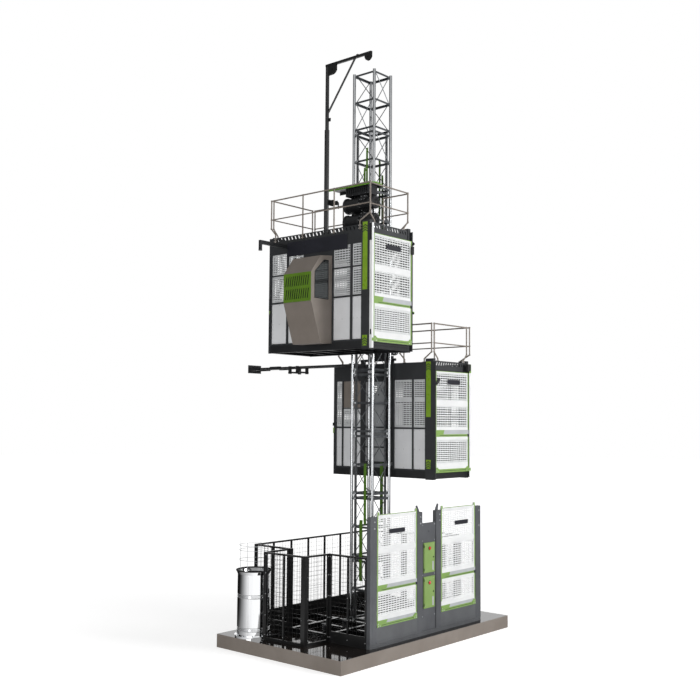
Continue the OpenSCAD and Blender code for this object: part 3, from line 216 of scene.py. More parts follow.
# each paint: name, its two shades, and what sets it off from plain enamel
paints = {
    # two-pack black enamel, brushed on thick: deep and glossy, sharp white lines where an edge turns
    "chassis": ("black_chassis_enamel", "#0f0f10", "#161617", {"roughness": 0.24, "coat": 0.4}),
    # lime enamel of the switch cams: saturated, half gloss
    "lime": ("lime_enamel", "#4c7512", "#578319", {"patchMm": 260}),
    # the same lime, painted lighter on the canopies: painted light from the open sky above them
    "canopy": ("lime_canopy_enamel_painted_lighter", "#5f941a", "#6ca227", {"patchMm": 300}),
    # leaf-green enamel on edges, bars and brackets of the leaves: fresh and soft against the white
    "trim": ("leaf_green_trim_enamel", "#82a654", "#8bae5d", {"patchMm": 300}),
    # self-adhesive film: even, a touch glossier than the paint under it
    "strip": ("lime_film", "#7ba31c", "#86ae24", {"patchMm": 200, "roughness": 0.28, "dust": 0.0}),
    # dark film of the chevrons: as even as the stripe under it
    "chevron": ("charcoal_film", "#26282a", "#2d2f31", {"patchMm": 200, "roughness": 0.3, "dust": 0.0}),
    # sage powder coat of the control covers: chalky, slightly pebbled
    "cover": ("sage_green_powder_coat", "#84a357", "#8cab61", {"patchMm": 380, "roughness": 0.46}),
    # anthracite powder coat of the cage frames: even and satin, near black beside the light sheets
    "frame": ("anthracite_powder_coat", "#27292b", "#2e3033", {"roughness": 0.42}),
    # the same coat where people walk: duller, with dust in it
    "roof": ("anthracite_roof_coat", "#2a2c2e", "#333538", {"roughness": 0.5, "dust": 0.25}),
    # underframe enamel: darkest of the greys, dusty on its ledges
    "underframe": ("charcoal_underframe_enamel", "#151618", "#1c1e20", {"dust": 0.25}),
    # bare sign boards: a blue cast that parts them from the grey frame; the same dark also draws the painted
    # shade in the grooves of the leaf bars
    "sign": ("blue_black_sign_coat", "#1a1b24", "#20212b", {"roughness": 0.35}),
    # slate powder coat of the landing wall: a quiet middle grey
    "wall": ("slate_grey_powder_coat", "#505256", "#585a5e", {"roughness": 0.45}),
    # the sills carry the same slate, scuffed duller
    "sill": ("slate_grey_sill_coat", "#56585b", "#606265", {"roughness": 0.5}),
    # fence enamel: jet black with fine bright edges
    "fence": ("black_fence_enamel", "#0c0c0d", "#141415", {"roughness": 0.34}),
    # wall tie: black, a little greyed by weather
    "tie": ("black_tie_enamel", "#1c1d1f", "#252628", {}),
    # white powder coat of doors and gates: clean, softly shining, with the faintest peel
    "door": ("white_powder_coat", "#eaebeb", "#f2f3f3", {"roughness": 0.36, "dust": 0.06}),
    # the gates have the same coat, painted a shade lighter: painted light, which their punched sheets take too,
    # so that they stay white where less light reaches them
    "gate": ("white_gate_coat_painted_lighter", "#ecedee", "#f4f5f5", {"roughness": 0.36, "dust": 0.06}),
    # punched sheet of the bays: pale grey, so that its holes read dark or bright by what is behind
    "mesh": ("pale_grey_perforated_sheet_coat", "#d2d4d5", "#dcdedf", {"patchMm": 260}),
    # punched sheet of the doors: nearer to white than that of the bays
    "leafSheet": ("white_perforated_sheet_coat", "#dbdddd", "#e3e5e5", {"patchMm": 260, "dust": 0.0}),
    # band under the middle bar, and the bare labels: cool light grey
    "band": ("light_grey_band_coat", "#b7babd", "#c0c3c6", {"patchMm": 260}),
    # coil-coated sheet: flat, very even, a soft wide shine
    "panel": ("light_grey_coil_coated_sheet", "#e0e1e3", "#eaebed", {"patchMm": 620, "roughness": 0.3}),
    # plate behind the rack: middle grey, against which rack and bars stand out
    "plate": ("grey_plate_enamel", "#999b9d", "#a5a7a9", {"patchMm": 500}),
    # taupe powder coat of the driver's cabin: warm, matt and even
    "cabin": ("taupe_powder_coat", "#7e756d", "#847b73", {"roughness": 0.45, "dust": 0.0, "peel": 0.05}),
    # moss green of the grille: strong and yellowish, so that the slots cut sharply
    "grille": ("moss_green_powder_coat", "#567c08", "#5f870f", {"roughness": 0.4, "dust": 0.0}),
    # tube enamel of the guard rails: grey-brown with a thin highlight along each tube
    "rail": ("grey_brown_tube_enamel", "#867d75", "#91887f", {"roughness": 0.35}),
    # drive frames: blue-black, half gloss
    "drive": ("black_drive_enamel", "#16171a", "#1f2023", {}),
    # painted aluminium castings: the sand skin shows through as a coarse pebble
    "motor": ("painted_cast_housing", "#18191b", "#232427", {"roughness": 0.42, "peel": 0.3, "peelMm": 12}),
    # jib enamel: clean deep black against the sky
    "jib": ("black_jib_enamel", "#0a0b0c", "#0f1011", {"dust": 0.0}),
    # black EPDM and moulded nylon: matt, slightly grey
    "rubber": ("black_rubber", "#131314", "#1a1a1b", {"roughness": 0.7, "peel": 0.05}),
    # painted shade: a matt black that stands for the shade inside slots, behind the grilles and on the fan
    # covers, so that the slots look deep
    "shadow": ("matt_black_painted_shade", "#070707", "#0c0c0c", {"roughness": 0.85}),
}

# each metal: name, its dull and its bright shade, and what sets it off from plain cut steel
metals = {
    # oil-blackened spring wire: dull, nearly black
    "spring": ("blackened_spring_steel", "#2a2b2d", "#3c3d40", {"roughness": 0.4}),
    # milled and hardened rack bar: darker than the zinc, with a greasy sheen
    "rack": ("milled_rack_steel", "#6f7173", "#939598", {"roughness": 0.33}),
    # ground gear steel: bright flanks
    "gear": ("hardened_gear_steel", "#8d8f92", "#b5b7ba", {}),
    # rolled zinc sheet: a near mirror drawn out into upright streaks
    "drum": ("rolled_zinc_sheet", "#dcdddf", "#eff0f1",
             {"grainMm": 9, "cloudMm": 240, "roughness": 0.08, "bump": 0.008, "spangle": 0.06,
              "stretch": (1, 1, 0.04)}),
    # guide wires: zinc plate, thin silver lines
    "wire": ("zinc_plated_wire", "#9fa2a5", "#c4c7ca", {"roughness": 0.35}),
    # fasteners: pale zinc that catches the light as small bright points
    "bolt": ("zinc_plated_bolt", "#c8cacc", "#e4e6e8", {"roughness": 0.42}),
    # rollers: worn to a bright grey by the tubes they run on
    "roller": ("ground_roller_steel", "#77797c", "#9b9da0", {"roughness": 0.28}),
}

finish = {key: paintFinish(name, {**enamel, "colour": colour, "faded": faded, **own})
          for key, (name, colour, faded, own) in paints.items()}
finish.update({key: metalFinish(name, {**cut, "colour": colour, "bright": bright, **own})
               for key, (name, colour, bright, own) in metals.items()})
finish.update({
    "concrete": slabFinish("sealed_concrete", {
        "side": "#857c74", "sidePale": "#8f867e", "top": "#1d1917", "topPale": "#2a2522", "stainMm": 700,
        "gritMm": 14, "sideRough": 0.75, "topRough": 0.03}),
    "mast": mastFinish("galvanised_mast_steel", {
        "tubeAt": (0.325, 0.325), "tubeRadius": 0.0395, "spangleMm": 12, "cloudMm": 150, "tube": "#a6a8aa",
        "tubeBright": "#b6b8ba", "tubeRough": 0.13, "bar": "#5d6063", "barBright": "#7d8083",
        "barRough": 0.34}),
    # toughened grey glass: dark, clear and very smooth
    "glass": paneFinish("grey_tinted_glass", {"colour": "#616566", "pale": "#6a6e6f", "patchMm": 500,
                                              "smearMm": 120, "roughness": 0.0, "clear": 0.9, "ior": 1.45}),
    # moulded red polycarbonate: strong even colour under a wet shine
    "lens": paneFinish("red_polycarbonate_lens", {"colour": "#e0201c", "pale": "#ee3a30", "patchMm": 60,
                                                  "smearMm": 30, "roughness": 0.08, "clear": 0.15,
                                                  "ior": 1.58}),
})

nodeFinish = {
    "foundation_slab": "concrete", "base_frame": "chassis", "buffer_springs": "spring", "mast_sections": "mast",
    "rack_1": "rack", "rack_2": "rack", "limit_cams": "lime", "wall_tie": "tie", "cable_drum": "drum",
    "cable_guides": "wire", "landing_posts": "wall", "control_boxes": "cover", "landing_sills": "sill",
    "fence": "fence", "landing_gate_1": "gate", "landing_gate_2": "gate", "jib_socket": "jib",
    "jib_crane": "jib",
}
cageFinish = {
    "floor": "underframe", "roof": "roof", "outer_frame": "frame", "inner_frame": "frame", "panels": "panel",
    "mesh": "mesh", "cabin": "cabin", "cabin_window": "glass", "cabin_grille": "grille", "guard_rail": "rail",
    "entry_door": "door", "exit_door_upper": "door", "exit_door_lower": "door", "drive_frame": "drive",
    "gear_motors": "motor", "pinion_upper": "gear", "pinion_lower": "gear", "safety_gear": "motor",
    "safety_pinion": "gear", "rollers_upper": "roller", "rollers_lower": "roller",
}
for n in (1, 2):
    nodeFinish.update({f"cage_{n}_{part}": look for part, look in cageFinish.items()})
for node, look in nodeFinish.items():
    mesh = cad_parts[node].data
    if mesh.materials:
        for i in range(len(mesh.materials)):
            mesh.materials[i] = finish[look]
    else:
        mesh.materials.append(finish[look])
print("stage: finishes on", len(nodeFinish), "nodes")


def addBlock(bm, corner, other):
    low = Vector(map(min, corner, other))
    high = Vector(map(max, corner, other))
    place = Matrix.Translation((low + high) / 2) @ Matrix.Diagonal((*(high - low), 1))
    return bmesh.ops.create_cube(bm, size=1, matrix=place)["verts"]


# pairs are the opposite corners of each block
def addBlocks(bm, at, pairs):
    for corner, other in pairs:
        addBlock(bm, at(*corner), at(*other))


def addRod(bm, start, end, width, sides=8, taper=1.0):
    axis = end - start
    place = Matrix.Translation((start + end) / 2) @ axis.to_track_quat("Z", "Y").to_matrix().to_4x4()
    return bmesh.ops.create_cone(bm, cap_ends=True, segments=sides, radius1=width / 2,
                                 radius2=width / 2 * taper, depth=axis.length, matrix=place)["verts"]


# shares of the size of a fastener: thickness and width of the washer, top of the head, height of a rivet
headLook = {"washer": 0.14, "washerWide": 1.35, "head": 0.62, "headTaper": 0.94, "rivet": 0.3,
            "rivetTaper": 0.62}


# hexagon head on a round washer, standing on the surface at foot and pointing along axis
def addBolt(bm, foot, axis, size):
    axis = Vector(axis)
    washerTop = foot + axis * size * headLook["washer"]
    addRod(bm, foot, washerTop, size * headLook["washerWide"], 12)
    addRod(bm, washerTop, foot + axis * size * headLook["head"], size, 6, headLook["headTaper"])


# low domed head of a screw or rivet
def addRivet(bm, foot, axis, size):
    addRod(bm, foot, foot + Vector(axis) * size * headLook["rivet"], size, 10, headLook["rivetTaper"])


# every place across with every height, on an upright face at x
def addRivets(bm, at, x, ys, zs, axis, size):
    for y in ys:
        for z in zs:
            addRivet(bm, at(x, y, z), axis, size)


# rods are start, end, width, and sides and taper where they aren't those of addRod
def addRods(bm, at, rods):
    for start, end, *form in rods:
        addRod(bm, at(*start), at(*end), *form)


# flat outline pushed along a vector
def addSheet(bm, outline, push):
    face = bm.faces.new([bm.verts.new(point) for point in outline])
    pushed = bmesh.ops.extrude_face_region(bm, geom=[face])["geom"]
    bmesh.ops.translate(bm, verts=[item for item in pushed if isinstance(item, bmesh.types.BMVert)], vec=push)


def finishPiece(bm, name, look, body, edge=0.0, replaces=None):
    if edge:
        bmesh.ops.bevel(bm, geom=bm.edges[:], offset=edge, segments=2, profile=0.5, affect="EDGES", material=-1)
    bmesh.ops.recalc_face_normals(bm, faces=bm.faces)
    mesh = bpy.data.meshes.new(name)
    bm.to_mesh(mesh)
    bm.free()
    mesh.materials.append(finish[look])
    piece = bpy.data.objects.new(name, mesh)
    bpy.context.scene.collection.objects.link(piece)
    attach(piece, body)
    if replaces:
        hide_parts(replaces)


def blockPiece(name, look, body, at, pairs, edge=0.0):
    bm = bmesh.new()
    addBlocks(bm, at, pairs)
    finishPiece(bm, name, look, body, edge)


cageLift = {1: 6.818, 2: 3.816}
cageSide = {1: -1, 2: 1}
slabTop = 0.3


# the first cage is the mirror image of the second; its drive is turned half round instead
def atCage(n):
    return lambda x, y, z: Vector((cageSide[n] * x, y, cageLift[n] + z))


def atDrive(n):
    return lambda x, y, z: Vector((cageSide[n] * x, cageSide[n] * y, cageLift[n] + z))


def atGate(n):
    return lambda x, y, z: Vector((cageSide[n] * x, y, slabTop + z))


def atBase(x, y, z):
    return Vector((x, y, slabTop + z))


def atPoint(x, y, z):
    return Vector((x, y, z))


# bars both ways over a flat opening: coarse is the pitch of the wires in the CAD, which the bars follow,
# and the pitches of the bars are rounded to divide it
def addGrid(bm, at, low, high, look):
    flat = min((0, 1), key=lambda i: abs(high[i] - low[i]))
    for i, way in ((1 - flat, "upright"), (2, "level")):
        pitch, width, thick = (look[way + key] for key in ("Pitch", "Width", "Thick"))
        first, length = low[i] - look["spare"], high[i] - low[i] + 2 * look["spare"]
        cells = max(1, round(length / look["coarse"]))
        count = cells * max(1, round(length / cells / pitch))
        for k in range(count + 1):
            half = max(look["margin"], width / 2) if k in (0, count) else width / 2
            near, far = list(low), list(high)
            near[i] = max(low[i], first + length * k / count - half)
            far[i] = min(high[i], first + length * k / count + half)
            middle = (low[flat] + high[flat]) / 2
            near[flat], far[flat] = middle - thick / 2, middle + thick / 2
            addBlock(bm, at(*near), at(*far))


# punched sheet behind the bays: slots about 62 by 21 mm in even rows
sheetLook = {"coarse": 0.2, "spare": 0.0, "uprightPitch": 0.080, "uprightWidth": 0.018, "uprightThick": 0.0026,
             "levelPitch": 0.050, "levelWidth": 0.029, "levelThick": 0.003, "margin": 0.030}
bayLook = {"outerX": 1.9295, "innerX": 0.4835, "in": 0.001, "plainHalf": 0.0017, "plain": (1.850, 1.950)}
outerCols = [(-1.320, -1.050), (-0.990, -0.477), (0.477, 0.980), (1.040, 1.545)]
outerRows = [(1.230, 1.865), (1.895, 2.400)]
innerCols = {1: [(-1.320, -0.712), (0.372, 0.925), (0.965, 1.545)],
             2: [(-1.320, -0.965), (-0.925, -0.372), (0.712, 1.312), (1.352, 1.545)]}
innerRow = (1.230, 2.400)
# one bay of the second cage is closed by a taupe panel above a rail
solidBay = {"bay": (2, 0.712), "foot": 1.690, "y": (0.713, 1.311), "panelX": (0.480, 0.484),
            "railX": (0.462, 0.492), "railHigh": 0.030, "gap": 0.002}


def addBay(bm, at, x, y0, y1, z0, z1):
    inset = bayLook["in"]
    addGrid(bm, at, (x, y0 + inset, z0 + inset), (x, y1 - inset, z1 - inset), sheetLook)


for n in (1, 2):
    bm = bmesh.new()
    at = atCage(n)
    for y0, y1 in outerCols:
        for z0, z1 in outerRows:
            addBay(bm, at, bayLook["outerX"], y0, y1, z0, z1)
    for y0, y1 in innerCols[n]:
        x, inset, (plainLow, plainHigh) = bayLook["innerX"], bayLook["in"], bayLook["plain"]
        top = solidBay["foot"] if (n, y0) == solidBay["bay"] else innerRow[1]
        addBay(bm, at, x, y0, y1, innerRow[0], top)
        if top > plainHigh:
            addBlock(bm, at(x - bayLook["plainHalf"], y0 + inset, plainLow),
                     at(x + bayLook["plainHalf"], y1 - inset, plainHigh))
    finishPiece(bm, f"cage_{n}_punched_sheets", "mesh", f"cage_{n}", replaces=f"cage_{n}_mesh")

(y0, y1), foot, railTop = solidBay["y"], solidBay["foot"], solidBay["foot"] + solidBay["railHigh"]
near, far = solidBay["panelX"]
blockPiece("cage_2_solid_bay_panel", "cabin", "cage_2", atCage(2),
           [((near, y0, railTop + solidBay["gap"]), (far, y1, innerRow[1] - bayLook["in"]))])
near, far = solidBay["railX"]
blockPiece("cage_2_solid_bay_rail", "frame", "cage_2", atCage(2),
           [((near, y0, foot), (far, y1, railTop))], edge=0.002)

# the same sheet in the doors and gates, a little thicker than the wires it covers
leafSheet = {**sheetLook, "spare": 0.002, "uprightThick": 0.0056, "levelThick": 0.0062}
leafBar = 0.042
# across, depth and rows of the openings of each leaf
leafOpenings = {
    "entry_door": (0.482, 1.881, -1.598, [(0.373, 0.938), (1.235, 1.750), (1.888, 2.558)]),
    "exit_door_upper": (0.482, 1.881, 1.584, [(1.345, 1.860), (1.910, 2.558)]),
    "exit_door_lower": (0.482, 1.881, 1.613, [(0.373, 0.700), (0.750, 1.153)]),
    "gate": (0.474, 1.911, -1.765, [(0.657, 1.143), (1.406, 2.018), (2.105, 2.808)]),
}


def leafBody(n, part):
    return f"landing_gate_{n}_leaf" if part == "gate" else f"cage_{n}_{part}_leaf"


for n in (1, 2):
    for part, (x0, x1, y, rows) in leafOpenings.items():
        bm = bmesh.new()
        at = atGate(n) if part == "gate" else atCage(n)
        for z0, z1 in rows:
            addGrid(bm, at, (x0 + leafBar, y, z0), (x1 - leafBar, y, z1), leafSheet)
        # the gate sheets take the gate coat, painted lighter than the door sheets: painted light
        finishPiece(bm, f"{leafBody(n, part)}_punched_sheet", "gate" if part == "gate" else "leafSheet",
                    leafBody(n, part))
print("stage: punched sheets")

# latch housing on the back corner of the second cage, over its green handle
blockPiece("cage_2_corner_latch", "rubber", "cage_2", atCage(2),
           [((0.437, 1.600, 1.250), (0.4548, 1.656, 1.330))], edge=0.003)
blockPiece("cage_2_corner_handle", "trim", "cage_2", atCage(2),
           [((0.441, 1.610, 1.060), (0.4546, 1.646, 1.200))], edge=0.003)

# what is painted or screwed on the front of a leaf; heights from the floor of the cage or the top of the slab
leafFace = {
    "entry_door": {"front": -1.619, "foot": 0.150, "bottomBar": 0.233, "head": 2.600,
                   "bars": [(1.012, 1.070)], "bands": [(1.070, 1.175)], "plate": (2.285, 2.400, 0.53),
                   "plateAt": {1: -1.155, 2: 1.250}},
    "gate": {"front": -1.785, "foot": 0.430, "bottomBar": 0.497, "head": 2.850,
             "bars": [(1.192, 1.245)], "bands": [(1.245, 1.323), (0.497, 0.569)], "plate": (2.417, 2.515, 0.56),
             "plateAt": {1: -1.200, 2: 1.320}},
}
# bracketShape gives shares of the bracket's width, counted inwards, and of its height
faceLook = {"skin": 0.0015, "bandSkin": 0.0027, "bar": 0.008, "edge": 0.035, "topLine": 0.012,
            "greenShare": 0.26, "slant": 0.045, "bracket": (0.135, 0.125), "bracketStand": 0.0145,
            "bracketUp": 0.002, "bracketShape": [(1, 0), (0, 0), (0, 0.8), (0.2, 1), (0.55, 1), (0.75, 0.75),
                                                 (1, 0.7)],
            # the groove values place a dark line along each bar: painted shade in its groove
            "grooveShade": (0.16, 0.09), "grooveHigh": 0.010, "grooveStand": 0.0092, "grooveUnder": 0.006,
            "endBlock": 0.060, "endOver": 0.004, "endStand": 0.011, "plateStand": 0.003, "plateUnder": 0.0002,
            "plateScrewIn": (0.020, 0.018), "plateScrew": 0.012, "bandGap": 0.001,
            "bracketBolts": [(0.035, 0.028), (0.035, 0.070), (0.095, 0.028)], "bracketBolt": 0.018}
# the lever of the lowest bracket reaches out over the guide
leverLook = {"up": 0.012, "high": 0.066, "x": (1.838, 1.880, 1.950), "root": -1.6330, "back": -1.6374,
             "front": -1.6422}
# green tabs on the heads of the gates, in front of the leaf and behind it
tabLook = {"x": (0.480, 1.845), "wide": 0.060, "y": [(-1.7862, -1.7850), (-1.7556, -1.7538)],
           "z": (2.850, 2.905)}


# out is how far a point stands out of the front of the leaf
def atFace(n, part):
    front, lift = leafFace[part]["front"], slabTop if part == "gate" else cageLift[n]
    return lambda x, out, z: Vector((x, front - out, lift + z))


def leafTrim(n, part, x0, x1, share):
    face, at, bm = leafFace[part], atFace(n, part), bmesh.new()
    skin, edge, foot = faceLook["skin"], faceLook["edge"], face["foot"]
    for xa, xb in ((x0, x0 + edge), (x1 - edge, x1)):
        addBlock(bm, at(xa, 0, face["bottomBar"]), at(xb, skin, face["head"]))
    addBlock(bm, at(x0 + edge, 0, face["head"] - faceLook["topLine"]), at(x1 - edge, skin, face["head"]))
    for z0, z1 in (*face["bars"], (foot, face["bottomBar"])):
        addBlock(bm, at(x0, 0, z0), at(x1, faceLook["bar"], z1))
    for z0, z1 in face["bands"]:
        addSheet(bm, [at(x0, 0, z0), at(share - faceLook["slant"], 0, z0), at(share, 0, z1), at(x0, 0, z1)],
                 (0, -2 * skin, 0))
    wide, high = faceLook["bracket"]
    for side, xe in ((-1, x0), (1, x1)):
        addSheet(bm, [at(xe - side * wide * inward, 0, foot + faceLook["bracketUp"] + high * up)
                      for inward, up in faceLook["bracketShape"]], (0, -faceLook["bracketStand"], 0))
    if part == "entry_door":
        low, (xa, xb, xc) = foot + leverLook["up"], leverLook["x"]
        high = low + leverLook["high"]
        addBlocks(bm, atCage(n), [((xa, leverLook["root"], low), (xb, leverLook["front"], high)),
                                  ((xb, leverLook["back"], low), (xc, leverLook["front"], high))])
    else:
        z0, z1 = tabLook["z"]
        addBlocks(bm, atGate(n), [((x, ya, z0), (x + tabLook["wide"], yb, z1))
                                  for x in tabLook["x"] for ya, yb in tabLook["y"]])
    finishPiece(bm, f"{leafBody(n, part)}_green_trim", "trim", leafBody(n, part))


def leafBands(n, part, x1, share):
    at, gap, bm = atFace(n, part), faceLook["bandGap"], bmesh.new()
    for z0, z1 in leafFace[part]["bands"]:
        addSheet(bm, [at(share - faceLook["slant"] + gap, 0, z0), at(x1, 0, z0), at(x1, 0, z1),
                      at(share + gap, 0, z1)], (0, -faceLook["bandSkin"], 0))
    finishPiece(bm, f"{leafBody(n, part)}_grey_band", "band", leafBody(n, part))


def leafPlates(n, part, x0, x1):
    face, at, bm = leafFace[part], atFace(n, part), bmesh.new()
    half, over = faceLook["grooveHigh"] / 2, faceLook["endOver"]
    inLow, inHigh = faceLook["grooveShade"]
    for z0, z1 in (*face["bars"], (face["foot"], face["bottomBar"])):
        middle = (z0 + z1) / 2
        # a dark line along each bar, standing out over it: painted shade in its groove
        addBlock(bm, at(x0 + inLow, -faceLook["grooveUnder"], middle - half),
                 at(x1 - inHigh, faceLook["grooveStand"], middle + half))
        if z0 > face["foot"]:
            addBlock(bm, at(x1 - faceLook["endBlock"], 0, z0 - over), at(x1, faceLook["endStand"], z1 + over))
    z0, z1, wide = face["plate"]
    middle = face["plateAt"][n]
    addBlock(bm, at(middle - wide / 2, -faceLook["plateUnder"], z0),
             at(middle + wide / 2, faceLook["plateStand"], z1))
    finishPiece(bm, f"{leafBody(n, part)}_dark_plates_and_bar_shade", "sign", leafBody(n, part))

    bm = bmesh.new()
    aside, up = faceLook["plateScrewIn"]
    for x in (middle - wide / 2 + aside, middle + wide / 2 - aside):
        for z in (z0 + up, z1 - up):
            addRivet(bm, at(x, faceLook["plateStand"], z), (0, -1, 0), faceLook["plateScrew"])
    for side, xe in ((-1, x0), (1, x1)):
        for inward, up in faceLook["bracketBolts"]:
            addBolt(bm, at(xe - side * inward, faceLook["bracketStand"], face["foot"] + up), (0, -1, 0),
                    faceLook["bracketBolt"])
    finishPiece(bm, f"{leafBody(n, part)}_screws", "bolt", leafBody(n, part))


for n in (1, 2):
    for part in leafFace:
        x0, x1 = sorted(cageSide[n] * x for x in leafOpenings[part][:2])
        share = x0 + faceLook["greenShare"] * (x1 - x0)
        leafTrim(n, part, x0, x1, share)
        leafBands(n, part, x1, share)
        leafPlates(n, part, x0, x1)
print("stage: door and gate fronts")

# outer guide: white cover, housing of the limit switch and a latch; inner guide: a roller switch on the first
# cage, a bent sheet and a second housing on the other
guideLook = {
    "cover": [((1.8930, -1.6350, 0.001), (1.9582, -1.6362, 2.820)),
              ((1.9570, -1.6350, 0.001), (1.9582, -1.5665, 2.820))],
    "outerBoxes": [((1.9582, -1.6310, 2.420), (1.9670, -1.5700, 2.816)),
                   ((1.9582, -1.6230, 0.300), (1.9690, -1.5900, 0.420))],
    "ownBox": {1: ((0.455, -1.6355, 2.280), (0.530, -1.6750, 2.470)),
               2: ((1.760, -1.6362, 2.640), (1.890, -1.6900, 2.816))},
    "roller": [((0.452, -1.600, 2.550), (0.410, -1.600, 2.550), 0.046, 16),
               ((0.412, -1.600, 2.550), (0.382, -1.600, 2.550), 0.092, 20, 0.8),
               ((0.492, -1.655, 2.468), (0.492, -1.655, 2.520), 0.016, 12)],
    "bent": [(0.468, 2.255), (0.500, 2.255), (0.632, 2.360), (0.632, 2.420), (0.560, 2.420), (0.468, 2.300)],
    "bentAt": -1.6362, "bentThick": 0.016,
}
for n in (1, 2):
    at = atCage(n)
    blockPiece(f"cage_{n}_guide_cover", "door", f"cage_{n}", at, guideLook["cover"])
    bm = bmesh.new()
    addBlocks(bm, at, [*guideLook["outerBoxes"], guideLook["ownBox"][n]])
    if n == 1:
        addRods(bm, at, guideLook["roller"])
    else:
        addSheet(bm, [at(x, guideLook["bentAt"], z) for x, z in guideLook["bent"]],
                 (0, -guideLook["bentThick"], 0))
    finishPiece(bm, f"cage_{n}_door_switches", "rubber", f"cage_{n}", edge=0.003)

blockPiece("cage_2_switch_lid", "trim", "cage_2", atCage(2),
           [((1.8900, -1.6375, 2.600), (1.9600, -1.6500, 2.812)),
            ((1.8900, -1.6380, 2.644), (1.8935, -1.6890, 2.812))])

latchLook = {"outline": [(0.465, 0.570), (0.586, 0.595), (0.586, 0.655), (0.465, 0.683)], "y": -1.7925,
             "thick": 0.008, "pin": [((0.520, -1.7925, 0.625), (0.520, -1.7860, 0.625), 0.030, 16)]}
bm = bmesh.new()
addSheet(bm, [atGate(2)(x, latchLook["y"], z) for x, z in latchLook["outline"]], (0, -latchLook["thick"], 0))
addRods(bm, atGate(2), latchLook["pin"])
finishPiece(bm, "landing_gate_2_latch", "door", "landing_gate_2_leaf", edge=0.002)

# film on the box posts: a plain stripe with chevrons at its head, and a patch of chevrons low down
filmLook = {"skin": 0.0010, "thick": 0.0006, "pitch": 0.055, "arm": 0.026, "rise": 0.045, "in": 0.004}
# face, way out, across, then the heights of stripe, head and patch
strips = [(1.957, 1, (-1.500, -1.360), (1.322, 2.859), (2.620, 2.850), (0.061, 0.296)),
          (0.455, -1, (-1.495, -1.355), (1.486, 2.825), (2.600, 2.816), (0.246, 0.458))]


def postFilm(n):
    at, green, dark = atCage(n), bmesh.new(), bmesh.new()
    rise, arm = filmLook["rise"], filmLook["arm"]
    for x, out, (y0, y1), stripe, head, patch in strips:
        face, middle = x + out * filmLook["skin"], (y0 + y1) / 2
        push = (cageSide[n] * out * filmLook["thick"], 0, 0)
        for z0, z1 in (stripe, patch):
            addBlock(green, at(x, y0, z0), at(face, y1, z1))
        for z0, z1 in (head, patch):
            z = z0 + filmLook["in"]
            while z + rise + arm < z1:
                outline = [(y0, z), (middle, z + rise), (y1, z), (y1, z + arm), (middle, z + rise + arm),
                           (y0, z + arm)]
                addSheet(dark, [at(face, *point) for point in outline], push)
                z += filmLook["pitch"]
    finishPiece(green, f"cage_{n}_post_film", "strip", f"cage_{n}")
    finishPiece(dark, f"cage_{n}_post_chevrons", "chevron", f"cage_{n}")


# plastic caps in the open tops of the box posts, and the sign board left bare on its raised edge
capBlocks = [((x0, -1.5605, 2.880), (x1, -1.3395, 2.8985)) for x0, x1 in ((0.4595, 0.5505), (1.8615, 1.9525))]
signBlock = ((1.967, -0.902, 2.318), (1.970, 1.012, 2.652))
# face, way out, places across, heights, size; panels have a rivet near each edge and one in the middle
signRivets = [(1.970, 1, (-0.87, -0.40, 0.055, 0.51, 0.98), (2.345, 2.625), 0.016),
              (1.957, 1, (-1.25, -1.05, 1.20, 1.45), (2.47, 2.78), 0.016),
              (1.957, 1, (-0.40, -0.20, 0.0, 0.20, 0.40), (2.250,), 0.014)]
postRivets = [(1.957, 1, (-1.02, -0.457, 0.457, 1.01, 1.555), (0.30, 1.21, 1.88, 2.36), 0.014)]
panelRivet = {"in": 0.022, "heights": (0.245, 0.70, 1.165), "size": 0.013, "outerX": 1.931, "innerX": 0.481}


def panelRows(x, out, cols):
    across = [y for y0, y1 in cols for y in (y0 + panelRivet["in"], (y0 + y1) / 2, y1 - panelRivet["in"])]
    return (x, out, across, panelRivet["heights"], panelRivet["size"])


def frameRivets(n):
    bm, at = bmesh.new(), atCage(n)
    for x, out, ys, zs, size in (*signRivets, panelRows(panelRivet["outerX"], 1, outerCols),
                                 panelRows(panelRivet["innerX"], -1, innerCols[n]), *postRivets):
        addRivets(bm, at, x, ys, zs, (out * cageSide[n], 0, 0), size)
    finishPiece(bm, f"cage_{n}_frame_rivets", "frame", f"cage_{n}")


# light plate behind the rack, left open round the safety pinion, with two rails and its bolts
backLook = {"x": (0.4550, 0.4538), "railX": 0.4470, "rails": (0.728, 1.225), "railHalf": 0.018, "bolt": 0.030,
            "sides": (-0.118, 0.548),
            "bolts": [(0.120, 2.330), (0.120, 2.040), (0.400, 2.330), (0.400, 2.040), (0.020, 0.300),
                      (0.420, 0.300)],
            "plates": [(-0.118, 0.176, 0.222, 2.366), (0.339, 0.548, 0.222, 2.366),
                       (0.176, 0.339, 0.222, 2.086), (0.176, 0.339, 2.284, 2.366)]}


def backPlate(n):
    at, bm = atDrive(n), bmesh.new()
    (near, far), (y0, y1), half = backLook["x"], backLook["sides"], backLook["railHalf"]
    blockPiece(f"cage_{n}_back_plate", "plate", f"cage_{n}", at,
               [((near, ya, za), (far, yb, zb)) for ya, yb, za, zb in backLook["plates"]])
    addBlocks(bm, at, [((far, y0, z - half), (backLook["railX"], y1, z + half)) for z in backLook["rails"]])
    for y, z in backLook["bolts"]:
        addBolt(bm, at(far, y, z), (-cageSide[n], 0, 0), backLook["bolt"])
    finishPiece(bm, f"cage_{n}_back_plate_rails", "frame", f"cage_{n}")


